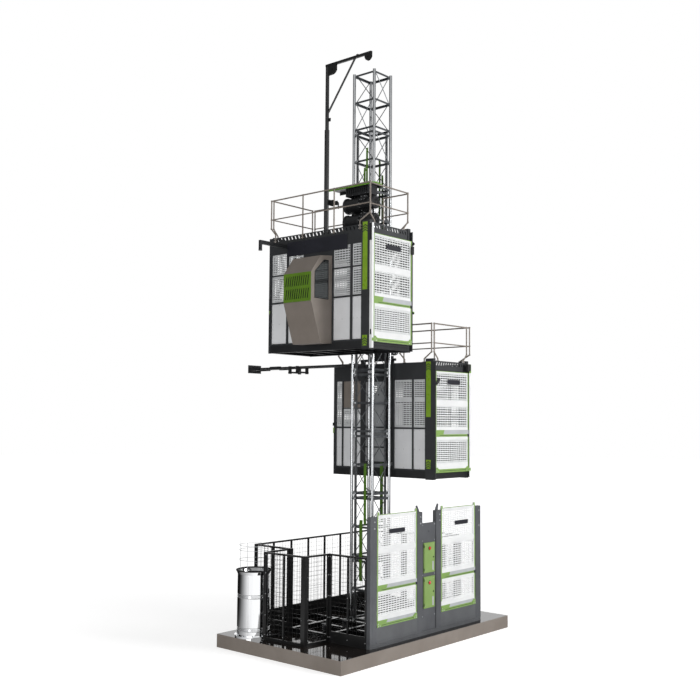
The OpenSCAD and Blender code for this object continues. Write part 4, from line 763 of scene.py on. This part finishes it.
# green lever of the handle box at the back corner
leverBlock = ((1.963, 1.582, 1.000), (1.975, 1.608, 1.040))
leverStem = [((1.969, 1.595, 1.004), (1.969, 1.595, 0.960), 0.018, 12)]
for n in (1, 2):
    postFilm(n)
    blockPiece(f"cage_{n}_post_caps", "rubber", f"cage_{n}", atCage(n), capBlocks, edge=0.002)
    blockPiece(f"cage_{n}_sign_plate", "sign", f"cage_{n}", atCage(n), [signBlock], edge=0.001)
    frameRivets(n)
    backPlate(n)
    bm = bmesh.new()
    addBlocks(bm, atCage(n), [leverBlock])
    addRods(bm, atCage(n), leverStem)
    finishPiece(bm, f"cage_{n}_exit_lever", "trim", f"cage_{n}", edge=0.002)
print("stage: cage dressing")

# depths and heights of the window corners and the screws of a side, from the face of the cage
cabinWindow = [(0.128, 1.160), (0.583, 1.160), (0.583, 1.740), (0.568, 1.775), (0.300, 2.035), (0.262, 2.055),
               (0.225, 2.060), (0.128, 2.060)]
cabinLook = {"face": 1.9575, "side": 0.437, "bead": 0.016, "screw": 0.014,
             "screws": [(0.030, 0.40), (0.030, 0.90), (0.030, 1.40), (0.030, 1.90), (0.660, 1.10),
                        (0.660, 1.42), (0.660, 1.70), (0.505, 0.55), (0.580, 0.82), (0.200, 2.120),
                        (0.375, 2.110), (0.530, 1.930), (0.200, 0.180), (0.350, 0.180)],
             "endX": 2.666, "endAcross": (-0.415, -0.14, 0.14, 0.415), "endHeights": (1.095, 1.415, 1.728),
             # backing is the sheet of painted shade behind the grille
             "backing": ((2.6562, -0.40, 1.120), (2.6580, 0.40, 1.700))}
for n in (1, 2):
    at, bm, screws = atCage(n), bmesh.new(), bmesh.new()
    face = cabinLook["face"]
    for side in (-1, 1):
        y = side * cabinLook["side"]
        for i, (depth, z) in enumerate(cabinWindow):
            nextDepth, nextZ = cabinWindow[(i + 1) % len(cabinWindow)]
            addRod(bm, at(face + depth, y, z), at(face + nextDepth, y, nextZ), cabinLook["bead"], 12)
        for depth, z in cabinLook["screws"]:
            addRivet(screws, at(face + depth, y, z), (0, side, 0), cabinLook["screw"])
    addRivets(screws, at, cabinLook["endX"], cabinLook["endAcross"], cabinLook["endHeights"],
              (cageSide[n], 0, 0), cabinLook["screw"])
    finishPiece(bm, f"cage_{n}_window_seals", "rubber", f"cage_{n}")
    finishPiece(screws, f"cage_{n}_cabin_screws", "cabin", f"cage_{n}")
    # a matt black sheet behind the grille: painted shade inside the cabin, seen through the slots
    blockPiece(f"cage_{n}_grille_shade_sheet", "shadow", f"cage_{n}", at, [cabinLook["backing"]])
print("stage: cabins")

# the canopy is one bent sheet over the motors, two millimetres proud of the plate it lies on
canopyLook = {"half": 0.6815, "line": [(0.443, 4.038), (0.447, 4.038), (0.447, 4.1015), (0.863, 4.1015),
                                       (0.863, 4.058), (0.867, 4.058), (0.867, 4.1137), (0.640, 4.1482),
                                       (0.443, 4.1198)]}
# rings are place along the motor, radius and bolt size; glands are screwed in under the terminal box
motorLook = {"x": 0.660, "heights": (3.230, 3.650), "ringBolts": 10, "ringStart": 18,
             "coverRing": (-0.235, 0.158, 0.022), "flangeRing": (0.259, 0.162, 0.018),
             "fanAt": 0.685, "fanSlots": 18, "fanFrom": 0.035, "fanTo": 0.112, "fanWide": 0.010,
             "boxX": 0.830, "boxAcross": (0.350, 0.446), "boxUp": (0.078, 0.152), "screw": 0.013,
             "glandX": 0.790, "glandAcross": (0.372, 0.424), "hoodX": 0.800,
             "hoodAcross": (-0.15, 0.05, 0.25, 0.45, 0.54), "hoodHeights": (3.880, 4.075),
             "plateX": 0.425, "plateAcross": (-0.262, 0.262), "plateHeights": (2.910, 3.10, 3.44, 3.72),
             "plateBolt": 0.024}


def motorDetails(at, turn, x, z, bolts, slotShade, glands):
    for k in range(motorLook["ringBolts"]):
        angle = math.radians(360 / motorLook["ringBolts"] * k + motorLook["ringStart"])
        for ring, out in (("coverRing", -turn), ("flangeRing", turn)):
            along, radius, size = motorLook[ring]
            foot = at(x + radius * math.sin(angle), along, z + radius * math.cos(angle))
            addBolt(bolts, foot, (0, out, 0), size)
    # dark bars radiating on the fan cover: painted shade of its slots
    for k in range(motorLook["fanSlots"]):
        angle = 2 * math.pi * k / motorLook["fanSlots"]
        start, end = (at(x + reach * math.sin(angle), motorLook["fanAt"], z + reach * math.cos(angle))
                      for reach in (motorLook["fanFrom"], motorLook["fanTo"]))
        addRod(slotShade, start, end, motorLook["fanWide"], 6)
    for y in motorLook["boxAcross"]:
        for up in motorLook["boxUp"]:
            addBolt(bolts, at(motorLook["boxX"], y, z + up), (turn, 0, 0), motorLook["screw"])
    gx = motorLook["glandX"]
    for y in motorLook["glandAcross"]:
        addRods(glands, at, [((gx, y, z + 0.060), (gx, y, z + 0.044), 0.034, 6),
                             ((gx, y, z + 0.044), (gx, y, z + 0.020), 0.024, 14, 0.8)])
    addRods(glands, at, [((x - 0.02, -0.02, z + 0.198), (x - 0.02, -0.02, z + 0.216), 0.030, 6)])


for n in (1, 2):
    at, turn, bm = atDrive(n), cageSide[n], bmesh.new()
    half = canopyLook["half"]
    addSheet(bm, [at(x, -half, z) for x, z in canopyLook["line"]], (0, turn * 2 * half, 0))
    finishPiece(bm, f"cage_{n}_canopy_skin", "canopy", f"cage_{n}")

    bolts, slotShade, glands = bmesh.new(), bmesh.new(), bmesh.new()
    for z in motorLook["heights"]:
        motorDetails(at, turn, motorLook["x"], z, bolts, slotShade, glands)
    addRivets(bolts, at, motorLook["hoodX"], motorLook["hoodAcross"], motorLook["hoodHeights"], (turn, 0, 0),
              motorLook["screw"])
    for y in motorLook["plateAcross"]:
        for z in motorLook["plateHeights"]:
            addBolt(bolts, at(motorLook["plateX"], y, z), (-turn, 0, 0), motorLook["plateBolt"])
    finishPiece(bolts, f"cage_{n}_drive_bolts", "bolt", f"cage_{n}")
    finishPiece(slotShade, f"cage_{n}_fan_slot_shade", "shadow", f"cage_{n}")
    finishPiece(glands, f"cage_{n}_cable_glands", "rubber", f"cage_{n}")
print("stage: drives")

# clamps that hold the rail to the parapet, and flanges under its other feet: those along the ends of the cage
# and those on the side of the mast, where one of the two short runs is longer
railLook = {"clampHeights": (2.725, 2.790), "clampFeet": (-1.293, -0.500, 0.500, 1.413), "wall": 1.9575,
            "front": 1.9955, "clampHalf": (0.036, 0.012), "clampBolts": 0.028, "clampBolt": 0.012,
            "endFeet": (0.680, 1.767), "endY": 1.541, "endHigh": (2.8505, 2.857), "mastX": (0.460, 0.500),
            "mastHigh": (2.8205, 2.827), "flangeHalf": (0.045, 0.020), "flangeBolts": 0.033,
            "flangeBolt": 0.014, "mastEnds": {-1: 1.280, 1: 1.350}, "short": 0.680, "long": 0.910}
for n in (1, 2):
    at, bm, bolts = atCage(n), bmesh.new(), bmesh.new()
    front, (wide, high), spread = railLook["front"], railLook["clampHalf"], railLook["clampBolts"]
    for y in railLook["clampFeet"]:
        for z in railLook["clampHeights"]:
            addBlock(bm, at(railLook["wall"], y - wide, z - high), at(front, y + wide, z + high))
            for aside in (-spread, spread):
                addBolt(bolts, at(front, y + aside, z), (cageSide[n], 0, 0), railLook["clampBolt"])
    (wide, high), spread, size = railLook["flangeHalf"], railLook["flangeBolts"], railLook["flangeBolt"]
    for side in (-1, 1):
        y, (z0, z1) = side * railLook["endY"], railLook["endHigh"]
        for foot in railLook["endFeet"]:
            addBlock(bm, at(foot - wide, y - high, z0), at(foot + wide, y + high, z1))
            for aside in (-spread, spread):
                addBolt(bolts, at(foot + aside, y, z1), (0, 0, 1), size)
        (x0, x1), (z0, z1) = railLook["mastX"], railLook["mastHigh"]
        for reach in (railLook["mastEnds"][side], railLook["long" if side == cageSide[n] else "short"]):
            y = side * reach
            addBlock(bm, at(x0, y - wide, z0), at(x1, y + wide, z1))
            for aside in (-spread, spread):
                addBolt(bolts, at((x0 + x1) / 2, y + aside, z1), (0, 0, 1), size)
    finishPiece(bm, f"cage_{n}_rail_clamps", "rail", f"cage_{n}", edge=0.002)
    finishPiece(bolts, f"cage_{n}_rail_bolts", "bolt", f"cage_{n}")

footBolts = {"x": (1.640, 1.900), "y": (-0.285, -0.035), "z": 2.6385, "size": 0.030}
bm = bmesh.new()
for x in footBolts["x"]:
    for y in footBolts["y"]:
        addBolt(bm, atCage(1)(x, y, footBolts["z"]), (0, 0, 1), footBolts["size"])
finishPiece(bm, "cage_1_jib_foot_bolts", "bolt", "cage_1")

# the jib as photographed: its arm starts at the pole, over cheeks that hold a pulley, and ends over a second
# pair; measures along the arm are from the pole
jibLook = {"x": 1.870, "y": -0.160, "foot": 2.6385, "top": 6.810, "pole": 0.089,
           "collar": (5.1805, 5.2205, 0.114),
           "arm": 0.060, "armEdge": 0.006, "tip": -1.360, "brace": (5.630, -0.030, -0.860, 0.046),
           "stop": ((-0.010, -0.110, 5.420), (0.010, -0.040, 5.500)),
           "lug": ((-0.020, -0.960, 6.806), (0.020, -0.910, 6.832)), "cheek": (0.014, 0.024), "pin": 0.028,
           "wheel": 0.110, "wheelWide": 0.026}
# place and depth of each pulley under the arm, and the outline of its cheeks
jibCheeks = [(-0.161, -0.088, [(-0.030, 0), (-0.286, 0), (-0.286, -0.128), (-0.250, -0.175), (-0.190, -0.208),
                               (-0.030, -0.214)]),
             (-1.260, -0.054, [(-1.360, 0.02), (-1.160, 0.02), (-1.165, -0.060), (-1.200, -0.118),
                               (-1.245, -0.142), (-1.290, -0.138), (-1.330, -0.110), (-1.360, -0.065)])]


def atJib(across, along, z):
    return atCage(1)(jibLook["x"] + across, jibLook["y"] + along, z)


bm = bmesh.new()
top, half = jibLook["top"], jibLook["arm"] / 2
under = top - jibLook["arm"]
addRod(bm, atJib(0, 0, jibLook["foot"]), atJib(0, 0, under), jibLook["pole"], 48)
low, high, wide = jibLook["collar"]
addRod(bm, atJib(0, 0, low), atJib(0, 0, high), wide, 48)
arm = addBlock(bm, atJib(-half, jibLook["tip"], under), atJib(half, jibLook["pole"] / 2, top))
bmesh.ops.bevel(bm, geom=list({edge for vert in arm for edge in vert.link_edges}), offset=jibLook["armEdge"],
                segments=3, profile=0.5, affect="EDGES", material=-1)
low, near, far, wide = jibLook["brace"]
addRod(bm, atJib(0, near, low), atJib(0, far, under + 0.004), wide, 24)
addBlocks(bm, atJib, [jibLook["stop"], jibLook["lug"]])
near, far = jibLook["cheek"]
for along, deep, outline in jibCheeks:
    for side in (-1, 1):
        addSheet(bm, [atJib(side * near, y, under + z) for y, z in outline], (-side * (far - near), 0, 0))
        addBolt(bm, atJib(side * far, along, under + deep), (-side, 0, 0), jibLook["pin"])
    start, end = (atJib(side * jibLook["wheelWide"] / 2, along, under + deep) for side in (-1, 1))
    addRod(bm, start, end, jibLook["wheel"], 32)
finishPiece(bm, "jib_crane_welded", "jib", "jib", replaces="jib_crane")

# landing wall: bolts of the posts, folded seams, hinges, locks, lamps and bare labels of the covers
wallLook = {"front": -1.790, "cover": -1.796, "bolt": 0.024,
            "bolts": [(-2.008, 2.70), (-2.008, 2.56), (-0.344, 2.70), (-0.344, 2.55), (0.412, 2.71),
                      (0.412, 2.57), (2.074, 2.70), (2.074, 2.33)],
            "seams": (-2.060, -0.400, 0.300, 1.965), "seamHigh": (0.10, 2.795), "seam": 0.005,
            "hinges": (1.480, 2.010, 0.680, 1.240), "locks": (1.748, 0.958), "lamps": (1.960, 1.170),
            "labels": ((1.450, 1.650), (0.640, 0.840))}
# across, heights, face and size
wallRivets = [((-0.236, 0.236), (0.42, 1.36, 2.14, 2.50), -1.770, 0.018),
              ((-0.175, 0.165), (1.45, 2.04, 0.65, 1.27), wallLook["cover"], 0.014)]
cover = wallLook["cover"]

bm = bmesh.new()
for x, z in wallLook["bolts"]:
    addBolt(bm, atBase(x, wallLook["front"], z), (0, -1, 0), wallLook["bolt"])
for xs, zs, face, size in wallRivets:
    for x in xs:
        for z in zs:
            addRivet(bm, atBase(x, face, z), (0, -1, 0), size)
finishPiece(bm, "landing_wall_bolts", "bolt", "base")

bm = bmesh.new()
low, high = wallLook["seamHigh"]
addRods(bm, atBase, [((x, wallLook["front"], low), (x, wallLook["front"], high), wallLook["seam"])
                     for x in wallLook["seams"]])
finishPiece(bm, "landing_wall_seams", "wall", "base")

bm = bmesh.new()
addRods(bm, atBase, [((-0.213, -1.800, z - 0.030), (-0.213, -1.800, z + 0.030), 0.014, 12)
                     for z in wallLook["hinges"]])
for z in wallLook["locks"]:
    addRods(bm, atBase, [((0.150, cover, z), (0.150, -1.806, z), 0.030, 18)])
    addBlocks(bm, atBase, [((0.138, -1.806, z - 0.004), (0.162, -1.812, z + 0.004))])
addRods(bm, atBase, [((0, cover, z), (0, -1.8010, z), 0.090, 28) for z in wallLook["lamps"]])
finishPiece(bm, "landing_cover_hinges", "rubber", "base")

bm = bmesh.new()
for z in wallLook["lamps"]:
    addRods(bm, atBase, [((0, -1.7964, z), (0, -1.8140, z), 0.0735, 32),
                         ((0, -1.8140, z), (0, -1.8200, z), 0.0735, 32, 0.62)])
finishPiece(bm, "landing_signal_lamps", "lens", "base")
blockPiece("landing_bare_labels", "band", "base", atBase,
           [((0.110, cover, z0), (0.165, -1.7975, z1)) for z0, z1 in wallLook["labels"]], edge=0.0005)
print("stage: landing wall")

# fine fence wires over the wires of the CAD, and bolts down each post
fenceWires = {"coarse": 0.3, "spare": 0.003, "margin": 0.003,
              "uprightPitch": 0.1, "uprightWidth": 0.0030, "uprightThick": 0.0030,
              "levelPitch": 0.1, "levelWidth": 0.0032, "levelThick": 0.0032}
fenceLook = {"high": 1.940, "bar": 0.040, "bolts": (0.12, 0.55, 1.02, 1.48, 1.88), "bolt": 0.020,
             "middle": (0, 0.4, 0)}
# ends of each run at the corner posts, number of bays, height of the skirt; both sides are alike, one run is
# at the back
sideRuns = [((2.177, -0.651), (2.146, -1.6895), 2, 0.250), ((2.201, -0.627), (2.836, -0.558), 1, 0.060),
            ((2.893, -0.500), (2.975, 0.582), 2, 0.060), ((2.951, 0.606), (2.205, 0.615), 1, 0.060),
            ((2.153, 0.667), (2.148, 1.760), 2, 0.250)]
fenceRuns = [(*run, side) for run in sideRuns for side in (-1, 1)]
fenceRuns.append(((-2.168, 1.785), (2.168, 1.785), 7, 0.330, 1))


# points of a run are measured along it, across it and upwards
def atRun(start, along, across, side):
    def place(x, y, z):
        point = Vector((*start, slabTop)) + along * x + across * y + Vector((0, 0, z))
        return Vector((side * point.x, point.y, point.z))
    return place


wires, bolts = bmesh.new(), bmesh.new()
bar = fenceLook["bar"]
for start, end, bays, skirt, side in fenceRuns:
    along = Vector((end[0] - start[0], end[1] - start[1], 0))
    length = along.length
    along.normalize()
    across = Vector((-along.y, along.x, 0))
    at = atRun(start, along, across, side)
    step = (length - bar) / bays
    for i in range(bays):
        placed = len(wires.verts)
        addGrid(wires, atPoint, (i * step + bar, 0, skirt),
                ((i + 1) * step, 0, fenceLook["high"] - bar), fenceWires)
        wires.verts.ensure_lookup_table()
        for vert in wires.verts[placed:]:
            vert.co = at(*vert.co)
    centre = at(length / 2, 0, 0)
    outward = at(length / 2, 1, 0) - centre
    out = across if outward.dot(centre - Vector(fenceLook["middle"])) > 0 else -across
    normal = Vector((side * out.x, out.y, 0))
    for i in range(bays + 1):
        for z in fenceLook["bolts"]:
            addRivet(bolts, at(i * step + bar / 2, 0, z) + normal * bar / 2, normal, fenceLook["bolt"])
finishPiece(wires, "fence_wires", "fence", "base")
finishPiece(bolts, "fence_bolts", "bolt", "base")
print("stage: fence")

# joint bolts of the mast, two beside each tube, and the screws that hold the racks
mastLook = {"foot": 0.360, "section": 1.508, "sections": 9, "racked": 8, "frames": (0.060, 0.754, 1.448),
            "beside": [(0.308, 0.263), (0.263, 0.308)],
            "shank": (0.088, 0.016, 8), "nut": (0.086, 0.102, 0.030, 6)}
# place of each rack screw on the first side, and which way it points
rackScrews = [((0.395, -0.1688), (1, 0)), ((0.375, -0.185), (0, -1)), ((0.330, -0.245), (1, 0))]
rackScrew = 0.034
bolts, rackBolts = bmesh.new(), bmesh.new()
(reach, *shank), (near, far, *nut) = mastLook["shank"], mastLook["nut"]
for i in range(1, mastLook["sections"]):
    z = mastLook["foot"] + i * mastLook["section"]
    for x, y in ((a * px, b * py) for a in (-1, 1) for b in (-1, 1) for px, py in mastLook["beside"]):
        addRods(bolts, atPoint, [((x, y, z - reach), (x, y, z + reach), *shank),
                                ((x, y, z - far), (x, y, z - near), *nut),
                                ((x, y, z + near), (x, y, z + far), *nut)])
for i in range(mastLook["racked"]):
    for level in mastLook["frames"]:
        z = mastLook["foot"] + i * mastLook["section"] + level
        for side in (-1, 1):
            for (x, y), (ax, ay) in rackScrews:
                addBolt(rackBolts, Vector((side * x, side * y, z)), (side * ax, side * ay, 0), rackScrew)
finishPiece(bolts, "mast_joint_bolts", "bolt", "base")
finishPiece(rackBolts, "rack_bolts", "bolt", "base")

# cable drum: bolts through its foot ring, a folded lock seam, and a dark edging pushed over the rim, so that
# the cable runs in over something smooth
drumLook = {"at": (-2.880, 1.060), "radius": 0.370, "footRing": 0.400, "foot": 0.050, "footBolts": 10,
            "footStart": 9, "footBolt": 0.022, "seamAngle": 208, "seamHigh": (0.055, 1.400), "seam": 0.009,
            "rim": 0.394, "rimHigh": 1.487, "rimBead": 0.016}
drumCentre = Vector((*drumLook["at"], slabTop))


# points of the drum are given by angle, radius and height
def atDrum(degrees, radius, z):
    angle = math.radians(degrees)
    return drumCentre + Vector((math.cos(angle) * radius, math.sin(angle) * radius, z))


bm = bmesh.new()
for k in range(drumLook["footBolts"]):
    degrees = 360 / drumLook["footBolts"] * k + drumLook["footStart"]
    addBolt(bm, atDrum(degrees, drumLook["footRing"], drumLook["foot"]), (0, 0, 1), drumLook["footBolt"])
finishPiece(bm, "drum_foot_bolts", "bolt", "base")

bm = bmesh.new()
start, end = (atDrum(drumLook["seamAngle"], drumLook["radius"], z) for z in drumLook["seamHigh"])
addRod(bm, start, end, drumLook["seam"])
finishPiece(bm, "drum_lock_seam", "drum", "base")

bm = bmesh.new()
rimEdge = Matrix.Translation(atDrum(0, drumLook["rim"], drumLook["rimHigh"]))
bmesh.ops.create_circle(bm, segments=12, radius=drumLook["rimBead"],
                        matrix=rimEdge @ Matrix.Rotation(math.pi / 2, 4, "X"))
bmesh.ops.spin(bm, geom=bm.edges[:] + bm.verts[:], cent=drumCentre, axis=(0, 0, 1), angle=2 * math.pi,
               steps=64, use_merge=True)
finishPiece(bm, "drum_rim_edging", "rubber", "base")
print("stage: mast and drum")

# backward points from the hoist to the camera, rightward to its right; a ring is what polished round things
# mirror from the one to the other side: a dark studio wall to the left and a grey one to the right, bright
# behind the hoist and in front of it; lamps are place, target, size and energy
studioLook = {
    "worldSoft": 0.72, "zenithSoft": 0.12, "floorGlow": 0.64, "farGlow": 1.0, "glowFrom": 5, "glowTo": 28,
    "mirrorBright": 1.15, "horizon": (0.25, 0.55), "ceiling": "#8c8c8c", "floor": "#e8e8e8", "floorRadius": 120,
    "backward": (-0.755, -0.655, 0), "rightward": (0.655, -0.755, 0), "blend": 0.05,
    "leftRing": ((0.0, "#ffffff"), (0.07, "#ffffff"), (0.12, "#303030"), (0.29, "#0c0c0c"), (0.43, "#1c1c1c"),
                 (0.54, "#4e4e4e"), (0.69, "#a2a2a2"), (0.81, "#dddddd"), (0.91, "#ffffff")),
    "rightRing": ((0.0, "#ffffff"), (0.07, "#ffffff"), (0.12, "#585858"), (0.26, "#747474"), (0.37, "#969696"),
                  (0.47, "#a4a4a4"), (0.56, "#a0a0a0"), (0.66, "#d8d8d8"), (0.76, "#ffffff")),
    "lamps": {"key": ((6, -23, 11), (0, 0, 5), 9, 3250), "fill": ((-22, -5.5, 6), (0, 0, 5), 10, 1000)},
}


def addLamp(name, place, target, size, energy):
    data = bpy.data.lights.new(name, "AREA")
    data.shape = "DISK"
    data.size = size
    data.energy = energy
    lamp = bpy.data.objects.new(name, data)
    bpy.context.scene.collection.objects.link(lamp)
    lamp.location = place
    lamp.rotation_euler = (Vector(target) - Vector(place)).to_track_quat("-Z", "Y").to_euler()


# white for the camera and through glass, soft for the light it gives
def brightForCamera(add, soft, white, mirrored):
    path = add("LightPath").outputs
    seen = add("Math", {"operation": "ADD", "use_clamp": True},
               {0: path["Is Camera Ray"], 1: path["Is Transmission Ray"]})
    rest = add("MixShader", links={0: path["Is Glossy Ray"], 1: soft, 2: mirrored})
    return add("MixShader", links={0: seen, 1: rest, 2: white})


def ringColour(add, direction):
    flat = add("VectorMath", {"operation": "MULTIPLY", 1: (1, 1, 0)}, {0: direction})
    unit = add("VectorMath", {"operation": "NORMALIZE"}, {0: flat})
    cosine, aside = (add("VectorMath", {"operation": "DOT_PRODUCT", 1: studioLook[way]},
                         {0: unit}).outputs["Value"] for way in ("backward", "rightward"))
    place = add("MapRange", {"From Min": -1.0}, {"Value": cosine})
    left, right = (add("ValToRGB", links={"Fac": place}, stops=studioLook[ring])
                   for ring in ("leftRing", "rightRing"))
    isRight = add("MapRange", {"From Min": -studioLook["blend"], "From Max": studioLook["blend"]},
                  {"Value": aside})
    return add("Mix", {"data_type": "RGBA"}, {0: isRight, 6: left, 7: right}).outputs[2]


# the sky: white behind the hoist, the two walls in its mirrors, and a soft light that fades towards the zenith
def lightStudio():
    world = bpy.data.worlds.new("studio")
    bpy.context.scene.world = world
    world.use_nodes = True
    world.node_tree.nodes.clear()
    add = partial(addNode, world.node_tree)
    white = add("Background", {"Color": (1, 1, 1, 1), "Strength": 1.0})
    direction = add("TexCoord").outputs["Generated"]
    high = add("SeparateXYZ", links={"Vector": direction}).outputs["Z"]
    light = add("MapRange", {"To Min": studioLook["worldSoft"], "To Max": studioLook["zenithSoft"]},
                {"Value": high})
    soft = add("Background", {"Color": (1, 1, 1, 1)}, {"Strength": light})
    low, top = studioLook["horizon"]
    above = add("MapRange", {"From Min": low, "From Max": top}, {"Value": high})
    colour = add("Mix", {"data_type": "RGBA", 7: shade(studioLook["ceiling"])},
                 {0: above, 6: ringColour(add, direction)}).outputs[2]
    mirrored = add("Background", {"Strength": studioLook["mirrorBright"]}, {"Color": colour})
    add("OutputWorld", links={"Surface": brightForCamera(add, soft, white, mirrored)})
    for name, values in studioLook["lamps"].items():
        addLamp(name, *values)


# the floor: pale and matt, glowing more the farther it is, so that it runs into the white of the sky
def layFloor():
    bm = bmesh.new()
    bmesh.ops.create_circle(bm, cap_ends=True, segments=96, radius=studioLook["floorRadius"])
    mesh = bpy.data.meshes.new("studio_floor")
    bm.to_mesh(mesh)
    bm.free()
    material, add = newFinish("pale_studio_floor")
    pale = add("BsdfDiffuse", {"Color": shade(studioLook["floor"])})
    place = add("NewGeometry").outputs["Position"]
    away = add("VectorMath", {"operation": "LENGTH"}, {0: place}).outputs["Value"]
    bright = add("MapRange", {"From Min": studioLook["glowFrom"], "From Max": studioLook["glowTo"],
                              "To Min": studioLook["floorGlow"], "To Max": studioLook["farGlow"]},
                 {"Value": away})
    glow = add("Emission", {"Color": (1, 1, 1, 1)}, {"Strength": bright})
    lit = add("AddShader", links={0: pale, 1: glow})
    dim = add("Emission", {"Strength": studioLook["mirrorBright"]}, {"Color": ringColour(add, place)})
    add("OutputMaterial", links={"Surface": brightForCamera(add, pale, lit, dim)})
    mesh.materials.append(material)
    floor = bpy.data.objects.new("studio_floor", mesh)
    bpy.context.scene.collection.objects.link(floor)


lightStudio()
layFloor()
print("stage: studio")
